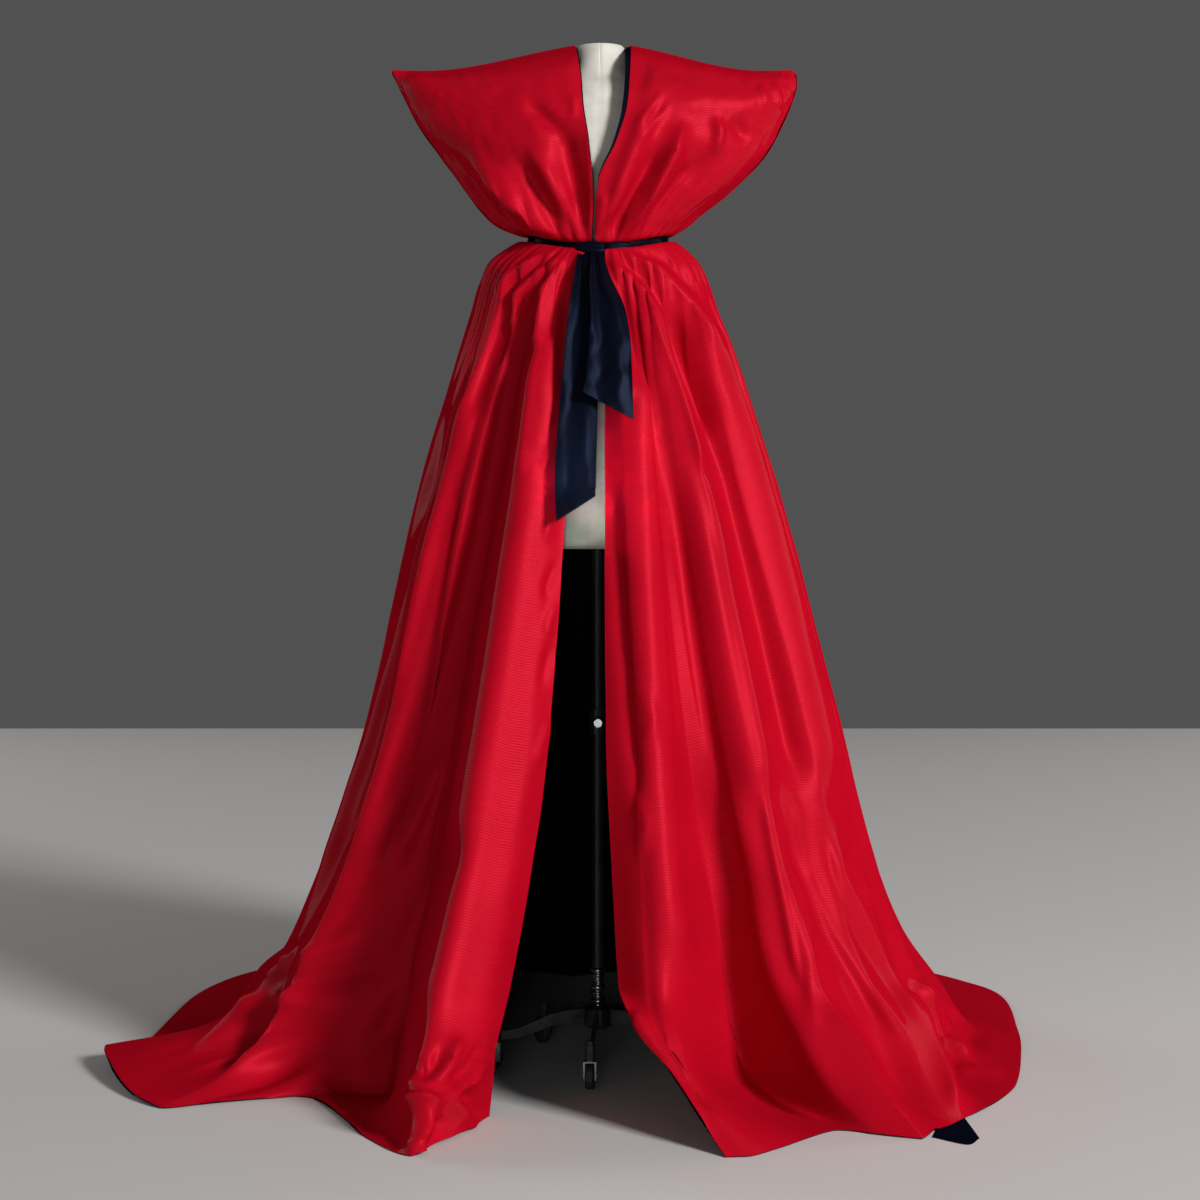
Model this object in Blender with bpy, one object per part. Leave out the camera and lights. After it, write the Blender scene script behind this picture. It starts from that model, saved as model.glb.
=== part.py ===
"""Opera cape with a train, tied at the waist over a dress form on a wheeled stand.

Metres, +Z up. The viewer of the front looks along +Y, so -X is the left side of every name.
Everything is modelled round the form's axis and then set down with the origin under its middle.
"""

import math
from collections import namedtuple

import bpy
import numpy as np
from mathutils import Matrix

# Driving dimensions of the cloth
SHELL = 0.0012
LINING = 0.0010
GAP = 0.0003
BED = LINING + GAP
WAIST = 1.396
WAIST_DIP = 0.022
MID_DROP = 0.69
LOW_DROP = 1.30
FLOOR_REACH = {"left": 0.62, "right": 0.58, "front": 0.52, "back": 0.80}
TRAIN_HALF = 0.785
TRAIN_BACK = 0.90
TRAIN_SQUARE = 5.0
TRAIN_MIDWAY = 0.45

# Skirt sections: drop below the waist seam, reach to each side, and gather depth
Section = namedtuple("Section", "drop left right front back gather")
SKIRT_SECTIONS = [
    Section(0.0000, 0.1085, 0.1085, 0.0875, 0.0875, 0.0040),
    Section(0.0165, 0.1085, 0.1085, 0.0875, 0.0875, 0.0040),
    Section(0.0300, 0.1680, 0.1540, 0.1120, 0.1300, 0.0060),
    Section(0.0560, 0.1890, 0.1740, 0.1300, 0.1520, 0.0055),
    Section(0.1200, 0.2130, 0.2030, 0.1560, 0.1850, 0.0030),
    Section(0.2400, 0.2510, 0.2410, 0.1900, 0.2350, 0.0010),
    Section(0.4200, 0.3060, 0.2960, 0.2340, 0.3150, 0.0),
    Section(0.8400, 0.4040, 0.4150, 0.3350, 0.5350, 0.0),
    Section(1.0400, 0.4760, 0.4630, 0.3850, 0.6450, 0.0),
    Section(1.2000, 0.5550, 0.5150, 0.4350, 0.7450, 0.0),
]

# Fold lines of the skirt, each a ridge or a valley, from the front edge round each side:
# degrees from the front at the waist and at mid height, reach against the section there,
# the point where it leaves the hanging part, its hem point, how crisp, and how soon it lies flat
Fold = namedtuple("Fold", "name waist mid reach low hem crisp flat")
LEFT_FOLDS = [
    Fold("edge", 8, 11.3, 0.90, (-0.160, -0.375, 0.100), (-0.168, -0.368, 0.0013), 1.0, 0.0),
    Fold("front ridge", 14, 17, 0.99, (-0.195, -0.470, 0.090), (-0.215, -0.500, 0.005), 0.0, 0.2),
    Fold("front corner", 21, 26, 1.02, (-0.270, -0.510, 0.100), (-0.272, -0.601, 0.002), 0.6, 0.1),
    Fold("flank", 25, 35, 0.93, (-0.315, -0.370, 0.035), (-0.350, -0.490, 0.0013), 0.0, 0.5),
    Fold("deep valley", 30, 48, 0.80, (-0.345, -0.238, 0.004), (-0.455, -0.252, 0.0013), 0.3, 1.0),
    Fold("lobe ridge", 37, 53, 0.90, (-0.440, -0.205, 0.055), (-0.540, -0.262, 0.003), 0.5, 0.4),
    Fold("lobe hollow", 44, 58, 0.89, (-0.500, -0.190, 0.035), (-0.620, -0.290, 0.003), 0.0, 0.6),
    Fold("lobe corner", 52, 63, 0.97, (-0.545, -0.175, 0.085), (-0.688, -0.317, 0.003), 0.4, 0.5),
    Fold("crease", 61, 70, 0.93, (-0.565, -0.120, 0.050), (-0.755, -0.235, 0.014), 0.0, 0.4),
    Fold("side ridge", 71, 79, 1.00, (-0.590, -0.070, 0.120), (-0.812, -0.100, 0.030), 0.0, 0.5),
    Fold("side seam", 82, 89, 0.985, (-0.590, 0.020, 0.110), (-0.835, -0.007, 0.032), 0.4, 0.5),
    Fold("back ridge", 93, 99, 1.01, (-0.585, 0.120, 0.145), (-0.790, 0.100, 0.010), 0.5, 0.9),
]
RIGHT_FOLDS = [
    Fold("edge", 5, 1.2, 0.90, (0.043, -0.420, 0.180), (0.186, -0.606, 0.0013), 1.0, 0.0),
    Fold("front ridge", 10, 8.5, 1.01, (0.085, -0.470, 0.150), (0.225, -0.600, 0.002), 0.3, 0.1),
    Fold("flank", 15, 15.8, 0.99, (0.128, -0.470, 0.125), (0.268, -0.557, 0.002), 0.0, 0.3),
    Fold("deep valley", 20, 19, 0.95, (0.230, -0.270, 0.040), (0.358, -0.453, 0.0013), 0.3, 0.9),
    Fold("lobe ridge", 26, 27.5, 1.00, (0.310, -0.370, 0.130), (0.426, -0.482, 0.003), 0.3, 0.3),
    Fold("main ridge", 33, 35.2, 1.01, (0.400, -0.400, 0.130), (0.486, -0.505, 0.002), 0.8, 0.2),
    Fold("valley", 41, 45, 0.93, (0.440, -0.310, 0.080), (0.514, -0.453, 0.0013), 0.0, 0.4),
    Fold("outer ridge", 49, 56.4, 1.00, (0.490, -0.280, 0.110), (0.545, -0.415, 0.002), 0.4, 0.2),
    Fold("lobe corner", 58, 73, 1.00, (0.535, -0.200, 0.120), (0.570, -0.380, 0.003), 0.6, 0.1),
    Fold("crease", 67, 82, 0.95, (0.550, -0.080, 0.030), (0.618, -0.304, 0.0013), 0.0, 0.8),
    Fold("side ridge", 76, 90, 1.00, (0.590, 0.020, 0.080), (0.679, -0.179, 0.003), 0.3, 0.7),
    Fold("side seam", 86, 98, 0.985, (0.605, 0.140, 0.060), (0.719, 0.000, 0.004), 0.0, 0.9),
    Fold("back ridge", 97, 106, 1.00, (0.610, 0.270, 0.090), (0.752, 0.220, 0.003), 0.3, 0.9),
]
BACK_FOLDS = 9
BACK_REACH = {"ridge": 1.0, "valley": 0.92}
BACK_LOW = {"ridge": 0.090, "valley": 0.008}
COLUMNS_PER_FOLD = 2

# Lining turned out past the hem: on the floor at the right, and under the lifted hem at the left
FLAP_CLEAR = 0.0030
RIGHT_FLAP = {"valley": (0.502, -0.492), "outer ridge": (0.549, -0.534), "lobe corner": (0.572, -0.498)}
LEFT_FLAP = ("crease", "side seam")
LEFT_FLAP_IN = 0.985

# Bodice rows: share of the way up, height at the side, half-widths, height and place of
# each V edge, and depth in front and behind
Row = namedtuple("Row", "up side left right v_height v_left v_right front back slit")
BODICE_ROWS = [
    Row(0.00, 1.3960, 0.1085, 0.1085, 1.376, -0.0130, -0.0060, 0.0875, 0.0875, 0),
    Row(0.05, 1.4125, 0.1085, 0.1085, 1.3925, -0.0120, -0.0060, 0.0875, 0.0875, 0),
    Row(0.12, 1.4230, 0.1560, 0.1330, 1.410, -0.0095, -0.0045, 0.1080, 0.1060, 0),
    Row(0.22, 1.4420, 0.1880, 0.1680, 1.442, -0.0085, -0.0035, 0.1260, 0.1200, 0),
    Row(0.36, 1.4800, 0.2220, 0.2220, 1.486, -0.0095, 0.0020, 0.1380, 0.1280, 0),
    Row(0.52, 1.5400, 0.2670, 0.2820, 1.550, -0.0160, 0.0310, 0.1400, 0.1280, 4),
    Row(0.68, 1.5950, 0.3080, 0.3140, 1.610, -0.0255, 0.0485, 0.1260, 0.1180, 8),
    Row(0.82, 1.6380, 0.3300, 0.3320, 1.660, -0.0290, 0.0530, 0.0980, 0.0960, 8),
    Row(0.92, 1.6660, 0.3430, 0.3390, 1.703, -0.0345, 0.0550, 0.0620, 0.0640, 8),
    Row(1.00, 1.6880, 0.3500, 0.3300, 1.729, -0.0390, 0.0560, 0.0000, 0.0000, 0),
]
SHOULDER_SAG = 0.013
BACK_FLARE = 0.004
BACK_CENTRE_RISE = 0.018
BAND_TOP = 0.10
NECK_MIDDLE = 0.004
NECK_ROUND = 0.0500
FRONT_COLUMNS = 14
BACK_COLUMNS = 24
BACK_CROWDING = 1.4
BODICE_GATHER = 0.0040
BODICE_GATHER_TOP = 0.45
V_LINING_SHOWS = {"left": 0.002, "right": 0.008}
TIP_SHORT = 0.003

# Sash
SASH_HALF_HEIGHT = 0.0120
SASH_CLEAR = BODICE_GATHER + 1.6 * SHELL + 3 * GAP
SASH_INNER = {"x": 0.1085 + SASH_CLEAR, "y": 0.0875 + SASH_CLEAR}
SASH_COLUMNS = 36
SASH_PROFILE = [(-1.0, 0.0016), (-0.6, 0.0040), (-0.25, 0.0026), (0.1, 0.0044), (0.45, 0.0028), (0.8, 0.0038), (1.0, 0.0016)]
SASH_THICK = max(thickness for _, thickness in SASH_PROFILE)
TAIL_WALL = 0.0018

# Tail sections: height, left and right edge, how far it stands forward, and fold depth
Tail = namedtuple("Tail", "height left right forward fold")
LONG_TAIL = [
    Tail(1.3597, -0.0330, -0.0120, 0.1060, 0.0030),
    Tail(1.3500, -0.0345, -0.0100, 0.1240, 0.0035),
    Tail(1.3100, -0.0420, -0.0030, 0.1480, 0.0050),
    Tail(1.2500, -0.0500, 0.0020, 0.1760, 0.0050),
    Tail(1.1700, -0.0570, 0.0010, 0.1990, 0.0040),
    Tail(1.0800, -0.0640, -0.0010, 0.2240, 0.0030),
    Tail(0.9900, -0.0690, -0.0030, 0.2480, 0.0020),
    Tail(0.9200, -0.0660, -0.0040, 0.2660, 0.0010),
]
LONG_TAIL_SLANT = (-0.0120, 0.0250)
SHORT_TAIL = [
    Tail(1.3609, -0.0110, 0.0080, 0.1110, 0.0030),
    Tail(1.3500, -0.0120, 0.0110, 0.1300, 0.0040),
    Tail(1.3150, -0.0150, 0.0240, 0.1580, 0.0060),
    Tail(1.2650, -0.0120, 0.0450, 0.1860, 0.0070),
    Tail(1.2100, -0.0140, 0.0530, 0.2060, 0.0060),
    Tail(1.1650, -0.0180, 0.0550, 0.2200, 0.0050),
    Tail(1.1150, -0.0240, 0.0570, 0.2350, 0.0040),
]
SHORT_TAIL_SLANT = (0.0260, -0.0060)
TAIL_COLUMNS = 8

# Dress form sections: height, half-width, half-depth
FormRing = namedtuple("FormRing", "height across deep")
FORM_RINGS = [
    FormRing(0.876, 0.150, 0.110),
    FormRing(0.880, 0.155, 0.115),
    FormRing(0.980, 0.163, 0.120),
    FormRing(1.100, 0.163, 0.120),
    FormRing(1.200, 0.150, 0.110),
    FormRing(1.300, 0.118, 0.091),
    FormRing(1.348, 0.1040, 0.0830),
    FormRing(1.425, 0.1040, 0.0830),
    FormRing(1.470, 0.117, 0.097),
    FormRing(1.530, 0.140, 0.112),
    FormRing(1.590, 0.146, 0.100),
    FormRing(1.625, 0.132, 0.085),
    FormRing(1.650, 0.098, 0.068),
    FormRing(1.668, 0.062, 0.052),
    FormRing(1.690, 0.046, 0.045),
    FormRing(1.722, 0.042, 0.042),
    FormRing(1.727, 0.038, 0.038),
]
FORM_SIDES = 24

# Stand
POLE_RADIUS = 0.011
HUB_TOP = 0.098
HUB_BOTTOM = 0.062
HUB_RADIUS = 0.024
SPINDLE_TOP = 0.163
COLLAR_HEIGHTS = (0.560, 0.602)
LEG_COUNT = 5
LEG_FIRST_DEG = -4.0
LEG_WIDTH = 0.006
LEG_LINE = [(HUB_RADIUS + GAP, 0.082), (0.055, 0.0815), (0.085, 0.077), (0.115, 0.0665), (0.142, 0.0580), (0.172, 0.0560)]
LEG_TALL = (0.024, 0.014)
CASTER_RADIUS = 0.176
SLEEVE_RADIUS = 0.0085
SLEEVE_BOTTOM = 0.0460
SLEEVE_TOP = 0.0760
CASTER_TRAIL = 0.010
WHEEL_RADIUS = 0.0205
WHEEL_WIDTH = 0.0140
WHEEL_SIDES = 16
AXLE_RADIUS = 0.0030
BORE_RADIUS = 0.0036
CHEEK = 0.0025
CHEEK_GAP = 0.0010


def clear_scene():
    """Remove whatever the scene holds."""
    for item in list(bpy.data.objects):
        bpy.data.objects.remove(item, do_unlink=True)


def material(name, color, roughness, metallic=0.0):
    """A Principled material of one colour."""
    made = bpy.data.materials.new(name)
    made.use_nodes = True
    shader = made.node_tree.nodes["Principled BSDF"]
    shader.inputs["Base Color"].default_value = (*color, 1.0)
    shader.inputs["Roughness"].default_value = roughness
    shader.inputs["Metallic"].default_value = metallic
    return made


def add_object(name, points, faces, surface, smooth_deg=50):
    """One mesh object with its material, shaded smooth up to an angle."""
    mesh = bpy.data.meshes.new(name)
    mesh.from_pydata([tuple(p) for p in points], [], [tuple(f) for f in faces])
    mesh.update()
    mesh.shade_smooth()
    mesh.set_sharp_from_angle(angle=math.radians(smooth_deg))
    mesh.materials.append(surface)
    made = bpy.data.objects.new(name, mesh)
    bpy.context.scene.collection.objects.link(made)
    return made


def unit(vectors):
    """Vectors scaled to length one."""
    return vectors / np.maximum(np.linalg.norm(vectors, axis=-1, keepdims=True), 1e-12)


def grid_normals(grid):
    """Normals at a grid's points and the factor that keeps an offset wall at full thickness."""
    total = np.zeros_like(grid)
    across = grid[1:, :] - grid[:-1, :]
    along = grid[:, 1:] - grid[:, :-1]
    corners = [
        (slice(0, -1), slice(0, -1), across[:, :-1], along[:-1, :]),
        (slice(1, None), slice(0, -1), across[:, :-1], along[1:, :]),
        (slice(0, -1), slice(1, None), across[:, 1:], along[:-1, :]),
        (slice(1, None), slice(1, None), across[:, 1:], along[1:, :]),
    ]
    faces = [unit(np.cross(side, up)) for _, _, side, up in corners]
    for (i, j, _, _), face in zip(corners, faces):
        total[i, j] += face
    normals = unit(total)
    widest = np.ones(grid.shape[:2])
    for (i, j, _, _), face in zip(corners, faces):
        facing = np.clip((normals[i, j] * face).sum(-1), 0.6, 1.0)
        widest[i, j] = np.maximum(widest[i, j], 1 / facing)
    return normals, widest[..., None]


def wall(name, grid, normals, near, far, surface):
    """A closed cloth wall between two offsets of a grid, near the inside and far the outside."""
    inner = grid + normals * near
    outer = grid + normals * far
    lying = (grid[..., 2] < BED + 0.0002) & (unit(normals)[..., 2] > 0.9)
    inner[lying, 2] = BED + near
    inner[..., 2] = np.maximum(inner[..., 2], 0.0)
    columns, rows = grid.shape[:2]
    count = columns * rows
    points = np.concatenate([outer.reshape(-1, 3), inner.reshape(-1, 3)])
    faces = []
    for i in range(columns - 1):
        for j in range(rows - 1):
            a, b = i * rows + j, (i + 1) * rows + j
            c, d = b + 1, a + 1
            rising = np.linalg.norm(grid[i, j] - grid[i + 1, j + 1])
            falling = np.linalg.norm(grid[i + 1, j] - grid[i, j + 1])
            pair = [(a, b, c), (a, c, d)] if rising < falling else [(a, b, d), (b, c, d)]
            faces += pair
            faces += [tuple(count + k for k in reversed(face)) for face in pair]
    edge = [i * rows for i in range(columns)]
    edge += [(columns - 1) * rows + j for j in range(1, rows)]
    edge += [i * rows + rows - 1 for i in range(columns - 2, -1, -1)]
    edge += [j for j in range(rows - 2, 0, -1)]
    for here, there in zip(edge, edge[1:] + edge[:1]):
        faces.append((here, count + here, count + there))
        faces.append((here, count + there, there))
    return add_object(name, points, faces, surface)


def parted(grid, first, last, low=0.0, high=0.0):
    """A grid with its first and last columns, and its rows, moved in by the given lengths."""
    moved = grid.copy()
    moved[0] += unit(grid[1] - grid[0]) * first
    moved[-1] += unit(grid[-2] - grid[-1]) * last
    moved[:, 0] += unit(grid[:, 1] - grid[:, 0]) * low
    moved[:, -1] += unit(grid[:, -2] - grid[:, -1]) * high
    return moved


def waist_height(degrees):
    """Height of the waist seam, which dips at the front."""
    ahead = np.maximum(np.cos(np.radians(degrees)), 0.0)
    return WAIST - WAIST_DIP * ahead**2


def ellipse_point(degrees, left, right, front, back, reach):
    """Points at angles counted from the front round by the left side."""
    turn = np.radians(degrees)
    side = np.where(np.sin(turn) > 0, left, right)
    deep = np.where(np.cos(turn) > 0, front, back)
    return -side * reach * np.sin(turn), -deep * reach * np.cos(turn)


def ellipse_angle(x, y):
    """Angle and reach of a floor point against the floor section."""
    side = FLOOR_REACH["left"] if x < 0 else FLOOR_REACH["right"]
    deep = FLOOR_REACH["front"] if y < 0 else FLOOR_REACH["back"]
    across, ahead = -x / side, -y / deep
    return math.degrees(math.atan2(across, ahead)) % 360, math.hypot(across, ahead)


def hem_behind(degrees):
    """Point of the squared-off hem of the train at an angle."""
    turn = math.radians(degrees)
    side, deep = -math.sin(turn), -math.cos(turn)
    size = (abs(side) ** TRAIN_SQUARE + abs(deep) ** TRAIN_SQUARE) ** (-1 / TRAIN_SQUARE)
    return TRAIN_HALF * side * size, TRAIN_BACK * deep * size


def all_folds():
    """Every fold line from the left front edge round the back to the right front edge."""
    around = [fold._replace(waist=360 - fold.waist, mid=360 - fold.mid) for fold in reversed(RIGHT_FOLDS)]
    start, end = LEFT_FOLDS[-1], around[0]
    behind = []
    for k in range(1, BACK_FOLDS + 1):
        share = k / (BACK_FOLDS + 1)
        kind = "valley" if k % 2 else "ridge"
        low_deg = 100 + 150 * share
        floor = [FLOOR_REACH[side] * (0.93 if k % 2 else 1.0) for side in ("left", "right", "front", "back")]
        x, y = ellipse_point(low_deg, *floor, 1.0)
        hem = hem_behind(108 + 144 * share)
        behind.append(Fold(
            "back " + kind,
            start.waist + (end.waist - start.waist) * share,
            start.mid + (end.mid - start.mid) * share,
            BACK_REACH[kind],
            (float(x), float(y), BACK_LOW[kind]),
            (*hem, BED),
            0.3 * (1 - k % 2),
            1.0,
        ))
    return LEFT_FOLDS + behind + around


def fold_net(folds):
    """Points of each fold line: the hanging sections, where it leaves them, midway and hem."""
    net = []
    for fold in folds:
        low_deg, low_reach = ellipse_angle(fold.low[0], fold.low[1])
        if fold.mid > 300 and low_deg < 60:
            low_deg += 360
        line = []
        for section in SKIRT_SECTIONS:
            upper = min(section.drop / MID_DROP, 1.0)
            lower = min(max(section.drop - MID_DROP, 0.0) / (LOW_DROP - MID_DROP), 1.0)
            degrees = fold.waist + (fold.mid - fold.waist) * upper**0.6
            reach = 1 + (fold.reach - 1) * upper**0.5
            degrees += (low_deg - fold.mid) * lower
            reach += (low_reach - fold.reach) * lower
            x, y = ellipse_point(degrees, *section[1:5], reach)
            height = float(waist_height(degrees)) * (1 - section.drop / WAIST)
            line.append((float(x), float(y), height))
        low, hem = np.array(fold.low), np.array(fold.hem)
        midway = low + (hem - low) * TRAIN_MIDWAY
        midway[2] = max(hem[2] + (low[2] - hem[2]) * (1 - TRAIN_MIDWAY) * (1 - fold.flat), BED)
        line += [tuple(low), tuple(midway), tuple(hem)]
        net.append(line)
    return np.array(net)


def across_folds(net, crisp, steps):
    """Columns between the fold lines, rounded at soft lines and creased at crisp ones."""
    crisp = np.array(crisp)[:, None, None]
    chord = net[1:] - net[:-1]
    smooth = np.concatenate([chord[:1], (net[2:] - net[:-2]) / 2, chord[-1:]])
    leaving = smooth[:-1] * (1 - crisp[:-1]) + chord * crisp[:-1]
    arriving = smooth[1:] * (1 - crisp[1:]) + chord * crisp[1:]
    columns = []
    for k in range(len(net) - 1):
        for step in range(steps):
            t = step / steps
            columns.append(
                net[k] * (2 * t**3 - 3 * t**2 + 1)
                + leaving[k] * (t**3 - 2 * t**2 + t)
                + net[k + 1] * (3 * t**2 - 2 * t**3)
                + arriving[k] * (t**3 - t**2)
            )
    columns.append(net[-1])
    return np.array(columns)


def add_gathers(grid, steps):
    """Push the fold lines outward near the waist, one gather to each."""
    place = np.arange(len(grid)) / steps
    wave = 0.5 + 0.5 * np.cos(2 * np.pi * place)
    depth = np.zeros(grid.shape[1])
    depth[: len(SKIRT_SECTIONS)] = [section.gather for section in SKIRT_SECTIONS]
    flat = grid.copy()
    flat[..., 2] = 0
    return grid + unit(flat) * wave[:, None, None] * depth[None, :, None]


def skirt_grid():
    """The whole skirt as one grid, with the names of its fold lines."""
    folds = all_folds()
    net = fold_net(folds)
    grid = across_folds(net, [fold.crisp for fold in folds], COLUMNS_PER_FOLD)
    grid[..., 2] = np.maximum(grid[..., 2], BED)
    return add_gathers(grid, COLUMNS_PER_FOLD), folds


def named(folds, name, start=0):
    """Place of the first fold of that name, counted from a given place on."""
    return next(k for k in range(start, len(folds)) if folds[k].name == name)


def build_flaps(grid, folds, navy):
    """The two corners of lining that show beyond the hem."""
    first = len(folds) - len(RIGHT_FOLDS)
    columns = []
    for name, (x, y) in RIGHT_FLAP.items():
        hem = grid[named(folds, name, first) * COLUMNS_PER_FOLD, -1]
        tip = np.array([x, y, BED])
        start = np.array([hem[0], hem[1], BED]) + unit(tip - hem) * FLAP_CLEAR
        columns.append([tip, (start + tip) / 2, start])
    upward = np.zeros((len(columns), 3, 3)) + np.array([0.0, 0.0, 1.0])
    wall("lining_corner_right", np.array(columns), upward, -BED, -GAP, navy)
    columns = []
    first, last = (named(folds, name) * COLUMNS_PER_FOLD for name in LEFT_FLAP)
    for hem in grid[first : last + 1, -1]:
        top = hem - np.array([0.0, 0.0, 2 * GAP + LINING])
        floor = np.array([hem[0] * LEFT_FLAP_IN, hem[1], GAP])
        columns.append([top, (top + floor) / 2, floor])
    strip = np.array(columns)
    normals, _ = grid_normals(strip)
    normals[..., 2] = 0
    wall("lining_corner_left", strip, unit(normals), -BED, -GAP, navy)


def build_skirt(red, navy):
    """Four skirt panels and their linings."""
    grid, folds = skirt_grid()
    steps = COLUMNS_PER_FOLD
    normals, widest = grid_normals(grid)
    normals[:, 0, 2] = 0
    normals = unit(normals)
    left_seam = (len(LEFT_FOLDS) - 2) * steps
    middle = (len(LEFT_FOLDS) + BACK_FOLDS // 2) * steps
    right_seam = (len(folds) - len(RIGHT_FOLDS) + 1) * steps
    last = len(grid) - 1
    panels = {
        "front_left": (0, left_seam, 0.0, GAP / 2),
        "back_left": (left_seam, middle, GAP / 2, GAP / 2),
        "back_right": (middle, right_seam, GAP / 2, GAP / 2),
        "front_right": (right_seam, last, GAP / 2, 0.0),
    }
    for name, (start, end, first, close) in panels.items():
        span = slice(start, end + 1)
        cloth = parted(grid[span], first, close, low=GAP / 2)
        facing = normals[span] * widest[span]
        wall("skirt_" + name, cloth, facing, 0.0, SHELL, red)
        wall("lining_skirt_" + name, cloth, facing, -BED, -GAP, navy)
    build_flaps(grid, folds, navy)


def bodice_table():
    """The bodice rows as an array, a column for each size."""
    return np.array([tuple(row) for row in BODICE_ROWS])


def bodice_front(side):
    """Grid of one front, from its V edge to its side, and from the waist to the shoulder line."""
    rows = bodice_table()
    up, side_height, left, right, v_height, v_left, v_right, front, _, slit = rows.T
    out = -left if side == "left" else right
    edge = v_left if side == "left" else v_right
    share = np.linspace(0, 1, FRONT_COLUMNS + 1)[:, None]
    start = np.arcsin(edge / out)[None, :]
    turn = start + share * (np.radians(90 - slit)[None, :] - start)
    x = out * np.sin(turn)
    y = -front * np.cos(turn)
    rise = np.clip(np.abs(x - edge) / np.abs(out - edge), 0, 1)
    z = v_height + (side_height - v_height) * rise
    z = z - SHOULDER_SAG * np.sin(np.pi * rise**1.5) * up**4
    z = np.where(up < BAND_TOP, waist_height(np.degrees(turn)) + side_height - WAIST, z)
    return gathered(np.stack([x, y, z], -1), up)


def bodice_back():
    """Grid of the back, from the left side to the right side."""
    rows = bodice_table()
    up, side_height, left, right, v_height, v_left, v_right, _, back, slit = rows.T
    share = np.linspace(-1, 1, BACK_COLUMNS + 1)[:, None]
    turn = np.sign(share) * np.abs(share) ** BACK_CROWDING * np.radians(90 - slit)[None, :]
    half = np.where(share < 0, left, right) + BACK_FLARE * (slit > 0)
    x = half * np.sin(turn)
    round_neck = np.sqrt(np.maximum(NECK_ROUND**2 - (x - NECK_MIDDLE) ** 2, 0)) * up**8
    y = np.maximum(back * np.cos(turn), round_neck)
    low_edge = np.where(share < 0, -v_left, v_right)
    rise = np.clip((np.abs(x) - low_edge) / (half - low_edge), 0, 1)
    centre = np.where(up < BAND_TOP, side_height, v_height + BACK_CENTRE_RISE * (1 - up))
    z = centre + (side_height - centre) * rise
    z = z - SHOULDER_SAG * np.sin(np.pi * rise**1.5) * up**4
    return gathered(np.stack([x, y, z], -1), up)


def gathered(grid, up):
    """Push every other column outward near the waist."""
    wave = (np.arange(len(grid)) + 1) % 2
    depth = BODICE_GATHER * np.clip((BODICE_GATHER_TOP - up) / (BODICE_GATHER_TOP - 0.12), 0, 1)
    flat = grid.copy()
    flat[..., 2] = 0
    return grid + unit(flat) * wave[:, None, None] * depth[None, :, None]


def seam_normals(grid, seams):
    """Normals that stay square to the seams, so that the walls on both sides of them meet."""
    normals, widest = grid_normals(grid)
    normals[:, 0, 2] = 0
    for column in seams:
        closed = np.abs(grid[column, :, 1]) < 1e-9
        normals[column, closed, 1] = 0
    top = np.abs(grid[:, -1, 1]) < 1e-9
    normals[top, -1, 1] = 0
    return unit(normals) * widest


def build_bodice(red, navy):
    """Two fronts and a back with their linings."""
    for side in ("left", "right"):
        grid = bodice_front(side)
        if side == "left":
            grid = grid[::-1]
        v_edge = -1 if side == "left" else 0
        side_edge = 0 if side == "left" else -1
        normals = seam_normals(grid, [side_edge])
        trims = (GAP / 2, 0.0) if side == "left" else (0.0, GAP / 2)
        outer = parted(grid, *trims, low=GAP / 2, high=GAP / 2)
        wall("bodice_front_" + side, outer, normals, 0.0, SHELL, red)
        shows = LINING + (V_LINING_SHOWS[side] - LINING) * np.clip(bodice_table()[:, 0] * 3 - 1, 0, 1)
        toward = unit(grid[v_edge] - grid[1 if v_edge == 0 else -2])
        beyond = (outer[v_edge] + toward * shows[:, None])[None]
        where = 0 if v_edge == 0 else len(outer)
        inner = np.insert(outer, where, beyond, axis=0)
        inner_normals = np.insert(normals, where, normals[v_edge][None], axis=0)
        inward = unit(inner[side_edge + (1 if side_edge == 0 else -1)] - inner[side_edge])
        inner[side_edge, -2:] += inward[-2:] * TIP_SHORT
        wall("lining_front_" + side, inner, inner_normals, -BED, -GAP, navy)
    grid = bodice_back()[::-1]
    normals = seam_normals(grid, [0, -1])
    outer = parted(grid, GAP / 2, GAP / 2, low=GAP / 2, high=GAP / 2)
    wall("bodice_back", outer, normals, 0.0, SHELL, red)
    wall("lining_back", outer, normals, -BED, -GAP, navy)


def loft(name, rings, surface, smooth_deg=50):
    """A closed solid through rings of points, capped flat at both ends."""
    rings = np.array(rings)
    count, sides = rings.shape[:2]
    points = rings.reshape(-1, 3)
    faces = []
    for i in range(count - 1):
        for j in range(sides):
            k = (j + 1) % sides
            faces.append((i * sides + j, i * sides + k, (i + 1) * sides + k, (i + 1) * sides + j))
    faces.append(tuple(reversed(range(sides))))
    faces.append(tuple((count - 1) * sides + j for j in range(sides)))
    return add_object(name, points, faces, surface, smooth_deg)


def ring(radius_x, radius_y, height, sides, middle=(0.0, 0.0)):
    """Points round an ellipse, seen from above."""
    turn = np.arange(sides) * 2 * np.pi / sides
    x = middle[0] + radius_x * np.cos(turn)
    y = middle[1] + radius_y * np.sin(turn)
    return np.stack([x, y, np.full(sides, height)], -1)


def turned(name, profile, sides, surface, middle=(0.0, 0.0)):
    """A turned piece from (radius, height) pairs, bottom first."""
    return loft(name, [ring(r, r, z, sides, middle) for r, z in profile], surface, 30)


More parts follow.
